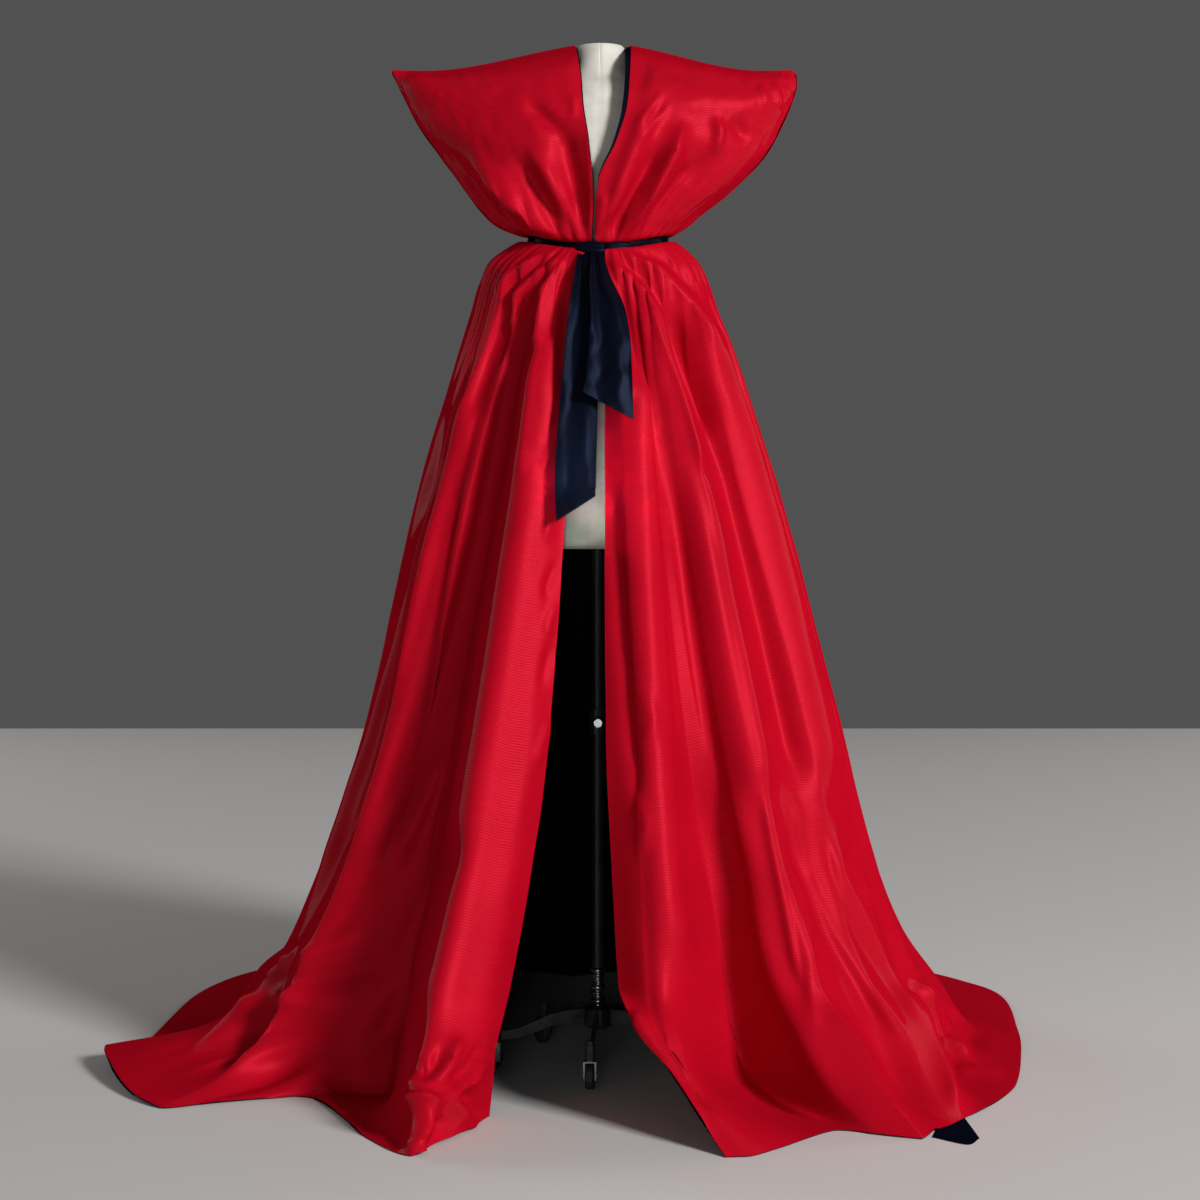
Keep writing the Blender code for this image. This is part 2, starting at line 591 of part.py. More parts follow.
def build_sash(navy):
    """The band round the waist, knot, loop and two tails."""
    angles = np.arange(SASH_COLUMNS) * 360 / SASH_COLUMNS
    sections = []
    for degrees in angles:
        middle = float(waist_height(degrees))
        line = [(0.0, -1.0), *[(t, h) for h, t in SASH_PROFILE], (0.0, 1.0), (0.0, 0.0)]
        turn = math.radians(degrees)
        section = []
        for thickness, share in line:
            x = -(SASH_INNER["x"] + thickness) * math.sin(turn)
            y = -(SASH_INNER["y"] + thickness) * math.cos(turn)
            section.append((x, y, middle + share * SASH_HALF_HEIGHT))
        sections.append(section)
    sides = len(sections[0])
    faces = []
    for i in range(SASH_COLUMNS):
        k = (i + 1) % SASH_COLUMNS
        for j in range(sides):
            m = (j + 1) % sides
            faces.append((i * sides + j, i * sides + m, k * sides + m, k * sides + j))
    add_object("sash_band", np.array(sections).reshape(-1, 3), faces, navy)
    front = SASH_INNER["y"] + SASH_THICK + GAP
    height = WAIST - WAIST_DIP
    blob("sash_knot", (-0.0125, -(front + 0.0091), height), (0.0270, 0.0100, 0.0125), navy, 0.15)
    blob("sash_loop", (0.0365, -(front + 0.0040), height + 0.0040), (0.0215, 0.0040, 0.0080), navy, 0.0)
    tail("sash_tail_long", LONG_TAIL, LONG_TAIL_SLANT, navy)
    tail("sash_tail_short", SHORT_TAIL, SHORT_TAIL_SLANT, navy)


def blob(name, middle, half, surface, ripple):
    """A rounded bundle of cloth with shallow ripples, curved round the waist."""
    sides, levels = 16, 7
    rings = []
    for level in range(levels):
        lean = math.pi * (level + 0.5) / levels - math.pi / 2
        across = math.sin(lean)
        wide = math.cos(lean) ** 0.6
        turn = -np.arange(sides) * 2 * np.pi / sides
        swell = 1 - ripple * (0.5 + 0.5 * np.cos(5 * turn))
        x = np.full(sides, middle[0] + half[0] * across)
        bend = SASH_INNER["y"] * (1 - np.sqrt(1 - (x / SASH_INNER["x"]) ** 2))
        y = middle[1] - half[1] * wide * np.cos(turn) * swell + bend
        z = middle[2] + half[2] * wide * np.sin(turn)
        rings.append(np.stack([x, y, z], -1))
    loft(name, rings, surface)


def tail(name, sections, slant, surface):
    """One end of the sash: a doubled strip hanging over the front, folded along its length."""
    share = np.linspace(0, 1, TAIL_COLUMNS + 1)[:, None]
    table = np.array([tuple(section) for section in sections])
    height, left, right, forward, fold = table.T
    x = left + (right - left) * share
    y = -forward - fold * (0.5 + 0.5 * np.cos(3 * np.pi * share))
    z = np.repeat(height[None, :], TAIL_COLUMNS + 1, 0)
    z[:, -1] = height[-1] + slant[0] * (1 - share[:, 0]) + slant[1] * share[:, 0]
    grid = np.stack([x, y, z], -1)[:, ::-1]
    normals, widest = grid_normals(grid)
    wall(name, grid, normals * widest, 0.0, TAIL_WALL, surface)


def build_form(linen):
    """The limbless torso with its neck."""
    rings = [ring(r.across, r.deep, r.height, FORM_SIDES, (NECK_MIDDLE * (r.height > 1.6), 0)) for r in FORM_RINGS]
    loft("form_torso", rings, linen, 60)


def build_column(black, steel):
    """Pole, height collar, spindle and hub on one axis."""
    torso_bottom = FORM_RINGS[0].height
    low, high = COLLAR_HEIGHTS
    turned("pole", [(POLE_RADIUS, SPINDLE_TOP + GAP), (POLE_RADIUS, torso_bottom - GAP)], 16, black)
    collar_bore = POLE_RADIUS + GAP
    build_sleeve("height_collar", collar_bore, 0.0165, low, high, black)
    knob_start = 0.0165 + GAP
    knob = turned("height_knob", [(0.004, 0.0), (0.004, 0.010), (0.010, 0.012), (0.010, 0.020), (0.007, 0.022)], 12, steel)
    knob.rotation_euler = (math.radians(90), 0, 0)
    knob.location = (0, -knob_start, (low + high) / 2)
    profile = [(0.010, HUB_TOP + GAP), (0.010, 0.103), (0.013, 0.107), (0.010, 0.111), (0.008, 0.116),
               (0.0135, 0.119), (0.0135, 0.1215), (0.008, 0.125), (0.0115, 0.131), (0.0085, 0.137),
               (0.0085, 0.152), (0.013, 0.156), (0.013, SPINDLE_TOP)]
    turned("spindle", profile, 14, steel)
    hub = [(0.020, HUB_BOTTOM), (HUB_RADIUS, HUB_BOTTOM + 0.004), (HUB_RADIUS, HUB_TOP - 0.004), (0.019, HUB_TOP)]
    turned("hub", hub, 24, black)


def build_sleeve(name, bore, radius, low, high, surface):
    """A short tube round the pole."""
    profile = [(bore, low), (radius, low), (radius, high), (bore, high)]
    sides = 16
    points, faces = [], []
    for r, z in profile:
        points += list(ring(r, r, z, sides))
    for i in range(4):
        k = (i + 1) % 4
        for j in range(sides):
            m = (j + 1) % sides
            faces.append((i * sides + j, i * sides + m, k * sides + m, k * sides + j))
    add_object(name, points, faces, surface, 30)


def joined(name, pieces, surface):
    """Overlapping closed pieces united into one solid."""
    base = pieces[0]
    for other in pieces[1:]:
        cut = base.modifiers.new("join", "BOOLEAN")
        cut.operation = "UNION"
        cut.solver = "EXACT"
        cut.object = other
        bpy.context.view_layer.update()
        graph = bpy.context.evaluated_depsgraph_get()
        mesh = bpy.data.meshes.new_from_object(base.evaluated_get(graph))
        base.modifiers.clear()
        base.data = mesh
        bpy.data.objects.remove(other, do_unlink=True)
    base.name = name
    base.data.name = name
    base.data.materials.clear()
    base.data.materials.append(surface)
    base.data.shade_smooth()
    base.data.set_sharp_from_angle(angle=math.radians(30))
    return base


def box(name, low, high, surface):
    """A plain box between two corners."""
    (x0, y0, z0), (x1, y1, z1) = low, high
    flat = np.array([(x0, y0), (x1, y0), (x1, y1), (x0, y1)])
    rings = [np.column_stack([flat, np.full(4, z)]) for z in (z0, z1)]
    return loft(name, rings, surface, 30)


def leg_solid(surface):
    """One curved strap on edge along +X, with the sleeve that carries its caster."""
    line = np.array(LEG_LINE)
    rings = []
    for share, (along, height) in zip(np.linspace(0, 1, len(line)), line):
        tall = LEG_TALL[0] + (LEG_TALL[1] - LEG_TALL[0]) * share
        half = LEG_WIDTH / 2
        corners = [(-half, -tall / 2), (half, -tall / 2), (half, tall / 2), (-half, tall / 2)]
        rings.append([(along, across, height + up) for across, up in corners])
    strap = loft("strap", rings, surface, 30)
    nut_low = SLEEVE_TOP - 0.006
    profile = [(SLEEVE_RADIUS, SLEEVE_BOTTOM), (SLEEVE_RADIUS, nut_low), (0.0055, nut_low), (0.0055, SLEEVE_TOP)]
    sleeve = turned("sleeve", profile, 12, surface, (CASTER_RADIUS, 0.0))
    return joined("leg", [strap, sleeve], surface)


def fork_solid(surface):
    """One caster fork with its axle, about the swivel's axis."""
    reach = WHEEL_WIDTH / 2 + CHEEK_GAP
    top = SLEEVE_BOTTOM - GAP
    plate = turned("plate", [(0.0105, top - 0.003), (0.0105, top)], 14, surface)
    pieces = [plate]
    for side in (-1, 1):
        near, far = sorted((side * reach, side * (reach + CHEEK)))
        pieces.append(box("cheek", (-0.004, near, WHEEL_RADIUS - 0.006), (CASTER_TRAIL + 0.006, far, top - 0.001), surface))
    bridge = reach + CHEEK - 0.0005
    pieces.append(box("bridge", (-0.0035, -bridge, top - 0.0028), (CASTER_TRAIL + 0.0055, bridge, top - 0.0012), surface))
    axle_half = reach + CHEEK + 0.0015
    axle = turned("axle", [(AXLE_RADIUS, -axle_half), (AXLE_RADIUS, axle_half)], 8, surface)
    axle.data.transform(quarter_turn())
    axle.data.transform(shift((CASTER_TRAIL, 0, WHEEL_RADIUS)))
    pieces.append(axle)
    return joined("fork", pieces, surface)


def quarter_turn():
    """Rotation that lays a Z axis along Y."""
    return Matrix.Rotation(math.radians(90), 4, "X")


def shift(offset):
    """Translation matrix."""
    return Matrix.Translation(offset)


def wheel_mesh(surface):
    """One wheel with its bore, about its own axis along Y."""
    half = WHEEL_WIDTH / 2
    shoulder = WHEEL_RADIUS - 0.0020
    profile = [(BORE_RADIUS, -half), (shoulder, -half), (WHEEL_RADIUS, -half + 0.0025),
               (WHEEL_RADIUS, half - 0.0025), (shoulder, half), (BORE_RADIUS, half)]
    sides = WHEEL_SIDES
    points, faces = [], []
    turn = (np.arange(sides) + 0.5) * 2 * np.pi / sides
    grow = 1 / math.cos(math.pi / sides)
    for radius, across in profile:
        size = radius * (grow if radius == WHEEL_RADIUS else 1.0)
        points += list(np.stack([size * np.sin(turn), np.full(sides, across), -size * np.cos(turn)], -1))
    for i in range(len(profile)):
        k = (i + 1) % len(profile)
        for j in range(sides):
            m = (j + 1) % sides
            faces.append((i * sides + j, k * sides + j, k * sides + m, i * sides + m))
    made = add_object("wheel", points, faces, surface, 30)
    return made


def build_base(black, steel, rubber):
    """Five legs, each with a swivel fork and a wheel."""
    leg_mesh = leg_solid(black)
    fork_mesh = fork_solid(steel)
    wheel = wheel_mesh(rubber)
    for number in range(LEG_COUNT):
        degrees = LEG_FIRST_DEG - 90 - number * 360 / LEG_COUNT
        turn = math.radians(degrees)
        out = np.array([math.cos(turn), math.sin(turn), 0.0])
        leg = bpy.data.objects.new(f"leg_{number + 1}", leg_mesh.data)
        leg.rotation_euler = (0, 0, turn)
        fork = bpy.data.objects.new(f"caster_fork_{number + 1}", fork_mesh.data)
        fork.rotation_euler = (0, 0, turn)
        fork.location = tuple(out * CASTER_RADIUS)
        roller = bpy.data.objects.new(f"wheel_{number + 1}", wheel.data)
        roller.rotation_euler = (0, 0, turn)
        roller.location = tuple(out * (CASTER_RADIUS + CASTER_TRAIL) + np.array([0, 0, WHEEL_RADIUS]))
        for made in (leg, fork, roller):
            bpy.context.scene.collection.objects.link(made)
    for pattern in (leg_mesh, fork_mesh, wheel):
        bpy.data.objects.remove(pattern, do_unlink=True)


def set_on_origin():
    """Move everything so that the middle of its box stands on the origin."""
    bpy.context.view_layer.update()
    corners = []
    for item in bpy.context.scene.objects:
        points = np.array([item.matrix_world @ vertex.co for vertex in item.data.vertices])
        corners += [points.min(0), points.max(0)]
    low, high = np.min(corners, 0), np.max(corners, 0)
    middle = (low + high) / 2
    for item in bpy.context.scene.objects:
        item.location = (item.location[0] - middle[0], item.location[1] - middle[1], item.location[2] - low[2])
    bpy.context.view_layer.update()
    print("form axis at", -middle[0], -middle[1], "lowest", low[2], "size", high - low)


def main():
    """Build every piece and set the whole on its origin."""
    clear_scene()
    red = material("red_taffeta", (0.60, 0.01, 0.03), 0.38)
    navy = material("navy_satin", (0.010, 0.014, 0.030), 0.30)
    linen = material("form_linen", (0.62, 0.58, 0.52), 0.85)
    black = material("black_metal", (0.02, 0.02, 0.022), 0.35, 0.6)
    steel = material("steel", (0.60, 0.60, 0.62), 0.25, 1.0)
    rubber = material("wheel_rubber", (0.05, 0.05, 0.055), 0.6)
    build_skirt(red, navy)
    build_bodice(red, navy)
    build_sash(navy)
    build_form(linen)
    build_column(black, steel)
    build_base(black, steel, rubber)
    set_on_origin()


main()
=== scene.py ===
"""Opera cape of red silk taffeta with a navy satin lining and sash, on a wheeled dress form.

Metres, +Z up, the viewer of the front looks along +Y. Shapes are worked out round the axis of
the dress form and moved onto the CAD's place by one offset.
"""

import sys

import logging
import math
from dataclasses import dataclass
from enum import Enum
from functools import partial

import bpy
import numpy as np
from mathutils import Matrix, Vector


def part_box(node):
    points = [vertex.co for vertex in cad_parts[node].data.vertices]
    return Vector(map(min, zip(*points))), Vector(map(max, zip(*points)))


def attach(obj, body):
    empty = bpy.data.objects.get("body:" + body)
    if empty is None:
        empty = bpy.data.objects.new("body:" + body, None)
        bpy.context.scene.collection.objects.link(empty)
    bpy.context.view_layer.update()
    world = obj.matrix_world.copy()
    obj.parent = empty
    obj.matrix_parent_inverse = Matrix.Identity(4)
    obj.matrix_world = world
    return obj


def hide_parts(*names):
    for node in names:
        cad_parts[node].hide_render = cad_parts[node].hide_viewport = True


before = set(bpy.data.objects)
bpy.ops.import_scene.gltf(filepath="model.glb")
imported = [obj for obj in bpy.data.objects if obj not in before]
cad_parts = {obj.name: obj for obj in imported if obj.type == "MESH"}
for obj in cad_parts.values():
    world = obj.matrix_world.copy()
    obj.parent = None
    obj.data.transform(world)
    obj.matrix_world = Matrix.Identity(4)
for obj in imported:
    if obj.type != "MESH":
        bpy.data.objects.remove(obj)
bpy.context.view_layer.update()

logging.basicConfig(level=logging.INFO, format="%(message)s", stream=sys.stdout)
LOG = logging.getLogger("cape")

Material = bpy.types.Material
Object = bpy.types.Object
Socket = bpy.types.NodeSocket
Tree = bpy.types.NodeTree
Point = tuple[float, float, float]
Levels = tuple[float, ...]

BODY = "cape_and_form"
SEED = 11
FLOOR_GAP = 0.0002  # the lowest cloth stays this far above the floor


class Side(Enum):
    """Which side of the object, as the viewer of the front sees it."""

    LEFT = "left"
    RIGHT = "right"


def form_axis() -> np.ndarray:
    """The place of the dress form's axis on the floor, in the CAD's frame.

    Returns:
        A point on the floor.
    """
    low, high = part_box("pole")
    return np.array([(low.x + high.x) / 2, (low.y + high.y) / 2, 0.0])


AXIS = form_axis()


# ---------------------------------------------------------------- shapes


def mm(*lengths: float) -> Levels:
    """Lengths in metres from millimetres."""
    return tuple(length / 1000 for length in lengths)


def unit(vectors: np.ndarray) -> np.ndarray:
    """Vectors scaled to length one."""
    return vectors / np.maximum(np.linalg.norm(vectors, axis=-1, keepdims=True), 1e-12)


def surface_normals(grid: np.ndarray) -> np.ndarray:
    """Normals of a grid: the cross product of its differences across and along.

    Args:
        grid: points, (columns, rows, 3).

    Returns:
        Unit normals of the same shape.
    """
    return unit(np.cross(np.gradient(grid, axis=0), np.gradient(grid, axis=1)))


def level_rim(normals: np.ndarray, rows: int) -> np.ndarray:
    """Normals whose first rows, at the waist's rim, are turned nearly level."""
    normals[:, :rows, 2] *= 0.2
    return unit(normals)


def cubic(t: np.ndarray, start: np.ndarray, leaving: np.ndarray, end: np.ndarray,
          arriving: np.ndarray) -> np.ndarray:
    """Hermite's cubic between two values, with a slope at each end."""
    return (
        (2 * t**3 - 3 * t**2 + 1) * start
        + (t**3 - 2 * t**2 + t) * leaving
        + (3 * t**2 - 2 * t**3) * end
        + (t**3 - t**2) * arriving
    )


def through(values: np.ndarray, knots: np.ndarray, at: np.ndarray) -> np.ndarray:
    """A curve through values at knots that never overshoots them.

    Each stretch is a cubic whose end slopes are the harmonic means of the chords' slopes, or zero
    where the chords turn back.

    Args:
        values: (..., knots) samples.
        knots: rising parameters of the samples.
        at: parameters to work out.

    Returns:
        (..., at) samples.
    """
    step = np.diff(knots)
    chord = np.diff(values, axis=-1) / step
    before, after = chord[..., :-1], chord[..., 1:]
    same = before * after > 0
    mean = np.where(same, 2 * before * after / np.where(same, before + after, 1.0), 0.0)
    slope = np.concatenate([chord[..., :1], mean, chord[..., -1:]], axis=-1)
    place = np.clip(np.searchsorted(knots, at, side="right") - 1, 0, len(knots) - 2)
    t = (at - knots[place]) / step[place]
    leaving, arriving = slope[..., place] * step[place], slope[..., place + 1] * step[place]
    return cubic(t, values[..., place], leaving, values[..., place + 1], arriving)


def ease(value: np.ndarray, start: float, end: float) -> np.ndarray:
    """Zero before start, one after end, and a smooth step between them."""
    t = np.clip((value - start) / (end - start), 0.0, 1.0)
    return t * t * (3 - 2 * t)


def between(value: np.ndarray, rise: tuple[float, float], fall: tuple[float, float]) -> np.ndarray:
    """One between two smooth steps: up over the first range and down over the second."""
    return ease(value, *rise) * (1 - ease(value, *fall))


def hills(shape: tuple[int, int], cells: tuple[int, int], seed: int) -> np.ndarray:
    """Soft uneven hills over a grid, from about -1 to 1.

    Random heights at a coarse net of points, joined by cosine steps along both ways.

    Args:
        shape: columns and rows of the grid.
        cells: cells of the coarse net each way.
        seed: which hills.

    Returns:
        Heights, one for each point of the grid.
    """
    net = np.random.default_rng(seed).uniform(-1, 1, (cells[0] + 1, cells[1] + 1))
    made = net
    for axis in (0, 1):
        at = np.linspace(0, cells[axis], shape[axis])
        place = np.minimum(at.astype(int), cells[axis] - 1)
        t = 0.5 - 0.5 * np.cos(np.pi * (at - place))
        low, high = np.take(made, place, axis=axis), np.take(made, place + 1, axis=axis)
        t = t[:, None] if axis == 0 else t[None, :]
        made = low * (1 - t) + high * t
    return made


def wavering(phase: np.ndarray, wander: float, shape: tuple[int, int], cells: tuple[int, int],
             seed: int) -> np.ndarray:
    """Waves over a grid whose crests wander: the cosine of a phase plus soft hills.

    Args:
        phase: the phase in radians.
        wander: how far the crests wander, in radians.
        shape: columns and rows of the grid.
        cells: cells of the hills each way.
        seed: which hills.

    Returns:
        Heights from -1 to 1.
    """
    return np.cos(phase + wander * hills(shape, cells, seed))


def lowest_nearby(field: np.ndarray, reach: int) -> np.ndarray:
    """The lowest value within a few columns and rows of every point.

    Args:
        field: heights over a grid.
        reach: how many columns and rows away to look.

    Returns:
        The lowest heights.
    """
    made = field
    for axis in (0, 1):
        count = made.shape[axis]
        around = np.clip(np.arange(-reach, count + reach), 0, count - 1)
        padded = np.take(made, around, axis)
        made = np.min([np.take(padded, np.arange(k, k + count), axis) for k in range(2 * reach + 1)], 0)
    return made


def every_other(count: int) -> np.ndarray:
    """Every second number below a count, with the last."""
    return np.unique(np.r_[np.arange(0, count, 2), count - 1])


def ring_lengths(grid: np.ndarray) -> tuple[np.ndarray, np.ndarray]:
    """Lengths across and along a grid at every point, in metres, for its weave.

    Args:
        grid: points, (columns, rows, 3).

    Returns:
        Across from the first column at mid height, and along from the first row.
    """
    across = np.linalg.norm(np.diff(grid, axis=0), axis=-1)
    along = np.linalg.norm(np.diff(grid, axis=1), axis=-1)
    across = np.concatenate([np.zeros((1, grid.shape[1])), np.cumsum(across, axis=0)], axis=0)
    along = np.concatenate([np.zeros((grid.shape[0], 1)), np.cumsum(along, axis=1)], axis=1)
    return across, along


def grid_quads(columns: int, rows: int, loop: bool = False, tube: bool = False) -> np.ndarray:
    """Corner numbers of the quads of a grid whose points run row by row within a column.

    Args:
        columns: how many columns.
        rows: how many rows.
        loop: whether the last column joins the first.
        tube: whether the last row joins the first.

    Returns:
        (quads, 4) point numbers.
    """
    i = np.arange(columns if loop else columns - 1)[:, None]
    j = np.arange(rows if tube else rows - 1)[None, :]
    here, there, up = i * rows, ((i + 1) % columns) * rows, (j + 1) % rows
    return np.stack([here + j, here + up, there + up, there + j], -1).reshape(-1, 4)


def add_mesh(
    name: str,
    points: np.ndarray,
    faces: list[list[int]],
    finish: Material,
    lay: np.ndarray | None = None,
    sharp_deg: float = 60.0,
) -> Object:
    """One object from points and faces, with its weave's UV map.

    Args:
        name: the object's name.
        points: (points, 3) in the CAD's frame.
        faces: point numbers of each face.
        finish: its material.
        lay: a place on the flat cloth for each point, in metres.
        sharp_deg: edges that turn more than this stay sharp.

    Returns:
        The object, at the origin.
    """
    mesh = bpy.data.meshes.new(name)
    mesh.from_pydata(points.tolist(), [], faces)
    mesh.update()
    if lay is not None:
        layer = mesh.uv_layers.new(name="Cloth")
        corner = np.empty(len(mesh.loops), np.int32)
        mesh.loops.foreach_get("vertex_index", corner)
        layer.data.foreach_set("uv", lay[corner].astype(np.float32).ravel())
    mesh.shade_smooth()
    mesh.set_sharp_from_angle(angle=math.radians(sharp_deg))
    mesh.materials.append(finish)
    made = bpy.data.objects.new(name, mesh)
    bpy.context.scene.collection.objects.link(made)
    return made


def add_cloth(
    name: str,
    grid: np.ndarray,
    near: float,
    far: float,
    finish: Material,
    normals: np.ndarray | None = None,
) -> Object:
    """A closed thin wall of cloth between two offsets of a grid along its normals.

    Args:
        name: the object's name.
        grid: points round the form's axis, (columns, rows, 3).
        near: offset of the inner face.
        far: offset of the outer face.
        finish: its material.
        normals: normals to use in place of the grid's own.

    Returns:
        The object.
    """
    facing = surface_normals(grid) if normals is None else normals
    outer, inner = grid + facing * far, grid + facing * near
    inner[..., 2] = np.maximum(inner[..., 2], FLOOR_GAP)
    lying = 0.5 * (far - near) * np.abs(facing[..., 2])
    outer[..., 2] = np.maximum(outer[..., 2], inner[..., 2] + lying)
    columns, rows = grid.shape[:2]
    count = columns * rows
    points = np.concatenate([outer.reshape(-1, 3), inner.reshape(-1, 3)]) + AXIS
    quads = grid_quads(columns, rows)
    low, high = np.arange(columns) * rows, np.arange(columns) * rows + rows - 1
    first, last = np.arange(rows), (columns - 1) * rows + np.arange(rows)
    rim = np.concatenate([low, last[1:], high[::-1][1:], first[::-1][1:-1]])
    after = np.roll(rim, -1)
    edge = np.stack([rim, after, count + after, count + rim], -1)
    faces = np.concatenate([quads[:, ::-1], count + quads, edge[:, ::-1]])
    across, along = ring_lengths(grid)
    middle = across[:, rows // 2 : rows // 2 + 1] * np.ones((1, rows))
    lay = np.stack([middle, along], -1).reshape(-1, 2)
    return add_mesh(name, points, faces.tolist(), finish, np.concatenate([lay, lay]))


def add_turned(name: str, grid: np.ndarray, finish: Material, sharp_deg: float) -> Object:
    """A closed body whose columns stand round an upright axis, with a flat face at both ends.

    Args:
        name: the object's name.
        grid: points round the form's axis, (columns, rows, 3).
        finish: its material.
        sharp_deg: edges that turn more than this stay sharp.

    Returns:
        The object.
    """
    columns, rows = grid.shape[:2]
    foot = np.arange(columns) * rows
    faces = grid_quads(columns, rows, loop=True)[:, ::-1].tolist()
    faces += [foot[::-1].tolist(), (foot + rows - 1).tolist()]
    return add_mesh(name, grid.reshape(-1, 3) + AXIS, faces, finish, sharp_deg=sharp_deg)


def stand_for(piece: Object, node: str) -> None:
    """Let a piece of the cape and form stand for its CAD node.

    Args:
        piece: the piece.
        node: the CAD node that it replaces.
    """
    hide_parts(node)
    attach(piece, BODY)


# ---------------------------------------------------------------- the camera's place


@dataclass(frozen=True)
class Viewpoint:
    """Where the photograph was taken from, round the form's axis: level, with the lens shifted down."""

    side: float = 0.0034
    distance: float = 4.2
    height: float = 0.957
    focal: float = 2470.6
    size: int = 1200
    horizon: int = 500

    def pixels(self, points: np.ndarray) -> tuple[np.ndarray, np.ndarray]:
        """Where points fall in the picture, and their depth.

        A point's offset from the camera, divided by its depth and scaled by the focal length, is
        counted from the picture's middle line and from its horizon.

        Args:
            points: (..., 3) round the form's axis.

        Returns:
            (..., 2) pixels from the top left, and depths in metres.
        """
        depth = points[..., 1] + self.distance
        x = self.size / 2 + self.focal * (points[..., 0] - self.side) / depth
        y = self.horizon - self.focal * (points[..., 2] - self.height) / depth
        return np.stack([x, y], -1), depth

    def facing(self, points: np.ndarray, normals: np.ndarray) -> np.ndarray:
        """How squarely a surface faces the camera, from -1 to 1."""
        eye = np.array([self.side, -self.distance, self.height])
        return (unit(eye - points) * normals).sum(-1)

    def build(self) -> Object:
        """The camera.

        Returns:
            Its object, set as the scene's camera.
        """
        data = bpy.data.cameras.new("camera")
        data.sensor_width = 36.0
        data.lens = data.sensor_width * self.focal / self.size
        data.shift_y = (self.horizon - self.size / 2) / self.size
        made = bpy.data.objects.new("camera", data)
        made.location = AXIS + np.array([self.side, -self.distance, self.height])
        made.rotation_euler = (math.radians(90), 0, 0)
        bpy.context.scene.collection.objects.link(made)
        bpy.context.scene.camera = made
        return made


VIEWPOINT = Viewpoint()
CREST_ROUND = 0.45  # radius of a sharp crest, as a share of its half-width
CREST_STEEP = 1.7
TURNED_AWAY, FACING_US = 0.08, 0.50  # creases fade out between these, as the surface turns away


class Crest(Enum):
    """The section of a crease."""

    SOFT = "soft"
    SHARP = "sharp"


@dataclass(frozen=True)
class Crease:
    """One crease: height and half-width in metres, and its line as the camera sees it."""

    height: float
    width: float
    path: np.ndarray
    crest: Crest
    fade: float

    def heights(self, pixels: np.ndarray, scale: np.ndarray) -> np.ndarray:
        """Heights of a bell or a pointed crest across the line, fading at both ends.

        Args:
            pixels: (points, 2) places in the picture.
            scale: metres to a pixel at each point.

        Returns:
            Heights in metres.
        """
        line = self.path
        lengths = np.linalg.norm(np.diff(line, axis=0), axis=1)
        starts = np.concatenate([[0.0], np.cumsum(lengths)])
        nearest = np.full(pixels.shape[:-1], np.inf)
        along = np.zeros(pixels.shape[:-1])
        for start, end, length, before in zip(line[:-1], line[1:], lengths, starts[:-1]):
            way = (end - start) / length
            t = np.clip(((pixels - start) * way).sum(-1), 0, length)
            distance = np.linalg.norm(pixels - (start + t[..., None] * way), axis=-1)
            closer = distance < nearest
            nearest = np.where(closer, distance, nearest)
            along = np.where(closer, before + t, along)
        share = along / starts[-1]
        ends = ease(share, 0.0, self.fade) * ease(1 - share, 0.0, self.fade)
        across = nearest * scale / self.width
        if self.crest is Crest.SOFT:
            return self.height * np.exp(-(across**2)) * ends
        point = np.hypot(across, CREST_ROUND) - CREST_ROUND
        return self.height * np.exp(-CREST_STEEP * point) * ends


def lay_crease(crest: Crest, height_mm: float, width_mm: float, fade: float, path: str) -> Crease:
    """A crease from the tables' short form.

    Args:
        crest: its section.
        height_mm: how far it stands out, or lies in when negative.
        width_mm: its half-width.
        fade: share of its length over which each end fades out.
        path: places of its line in the picture, "x,y x,y ...".

    Returns:
        The crease.
    """
    line = np.array([place.split(",") for place in path.split()], float)
    return Crease(height_mm / 1000, width_mm / 1000, line, crest, fade)


soft = partial(lay_crease, Crest.SOFT)
sharp = partial(lay_crease, Crest.SHARP)


def crease_heights(grid: np.ndarray, normals: np.ndarray, creases: tuple[Crease, ...]) -> np.ndarray:
    """Heights of creases over a grid, where it faces the camera.

    Args:
        grid: points round the form's axis.
        normals: its normals.
        creases: what is laid on it.

    Returns:
        Heights along the normals, in metres.
    """
    pixels, depth = VIEWPOINT.pixels(grid)
    scale = depth / VIEWPOINT.focal
    total = np.zeros(grid.shape[:2])
    for crease in creases:
        total += crease.heights(pixels, scale)
    return total * ease(VIEWPOINT.facing(grid, normals), TURNED_AWAY, FACING_US)


# ---------------------------------------------------------------- finishes


def linear(code: str) -> tuple[float, float, float, float]:
    """A linear colour from an sRGB hex value.

    Args:
        code: six hex digits after a hash.

    Returns:
        Red, green, blue and alpha.
    """
    parts = [int(code[k : k + 2], 16) / 255 for k in (1, 3, 5)]
    made = [p / 12.92 if p <= 0.04045 else ((p + 0.055) / 1.055) ** 2.4 for p in parts]
    return (*made, 1.0)


def add_node(tree: Tree, kind: str, settings: dict | None = None,
             links: dict | None = None) -> bpy.types.Node:
    """Add one node with its settings and links.

    Args:
        tree: the material's tree.
        kind: Blender's node type.
        settings: attributes, or input sockets by name or number, with their values.
        links: input sockets by name or number, with the output socket that feeds each.

    Returns:
        The node.
    """
    node = tree.nodes.new(kind)
    for key, value in (settings or {}).items():
        if isinstance(key, str) and hasattr(node, key):
            setattr(node, key, value)
        else:
            node.inputs[key].default_value = value
    for key, source in (links or {}).items():
        tree.links.new(source, node.inputs[key])
    return node


def new_material(name: str) -> tuple[Material, Tree]:
    """An empty node material and its tree."""
    made = bpy.data.materials.new(name)
    made.use_nodes = True
    made.node_tree.nodes.clear()
    return made, made.node_tree


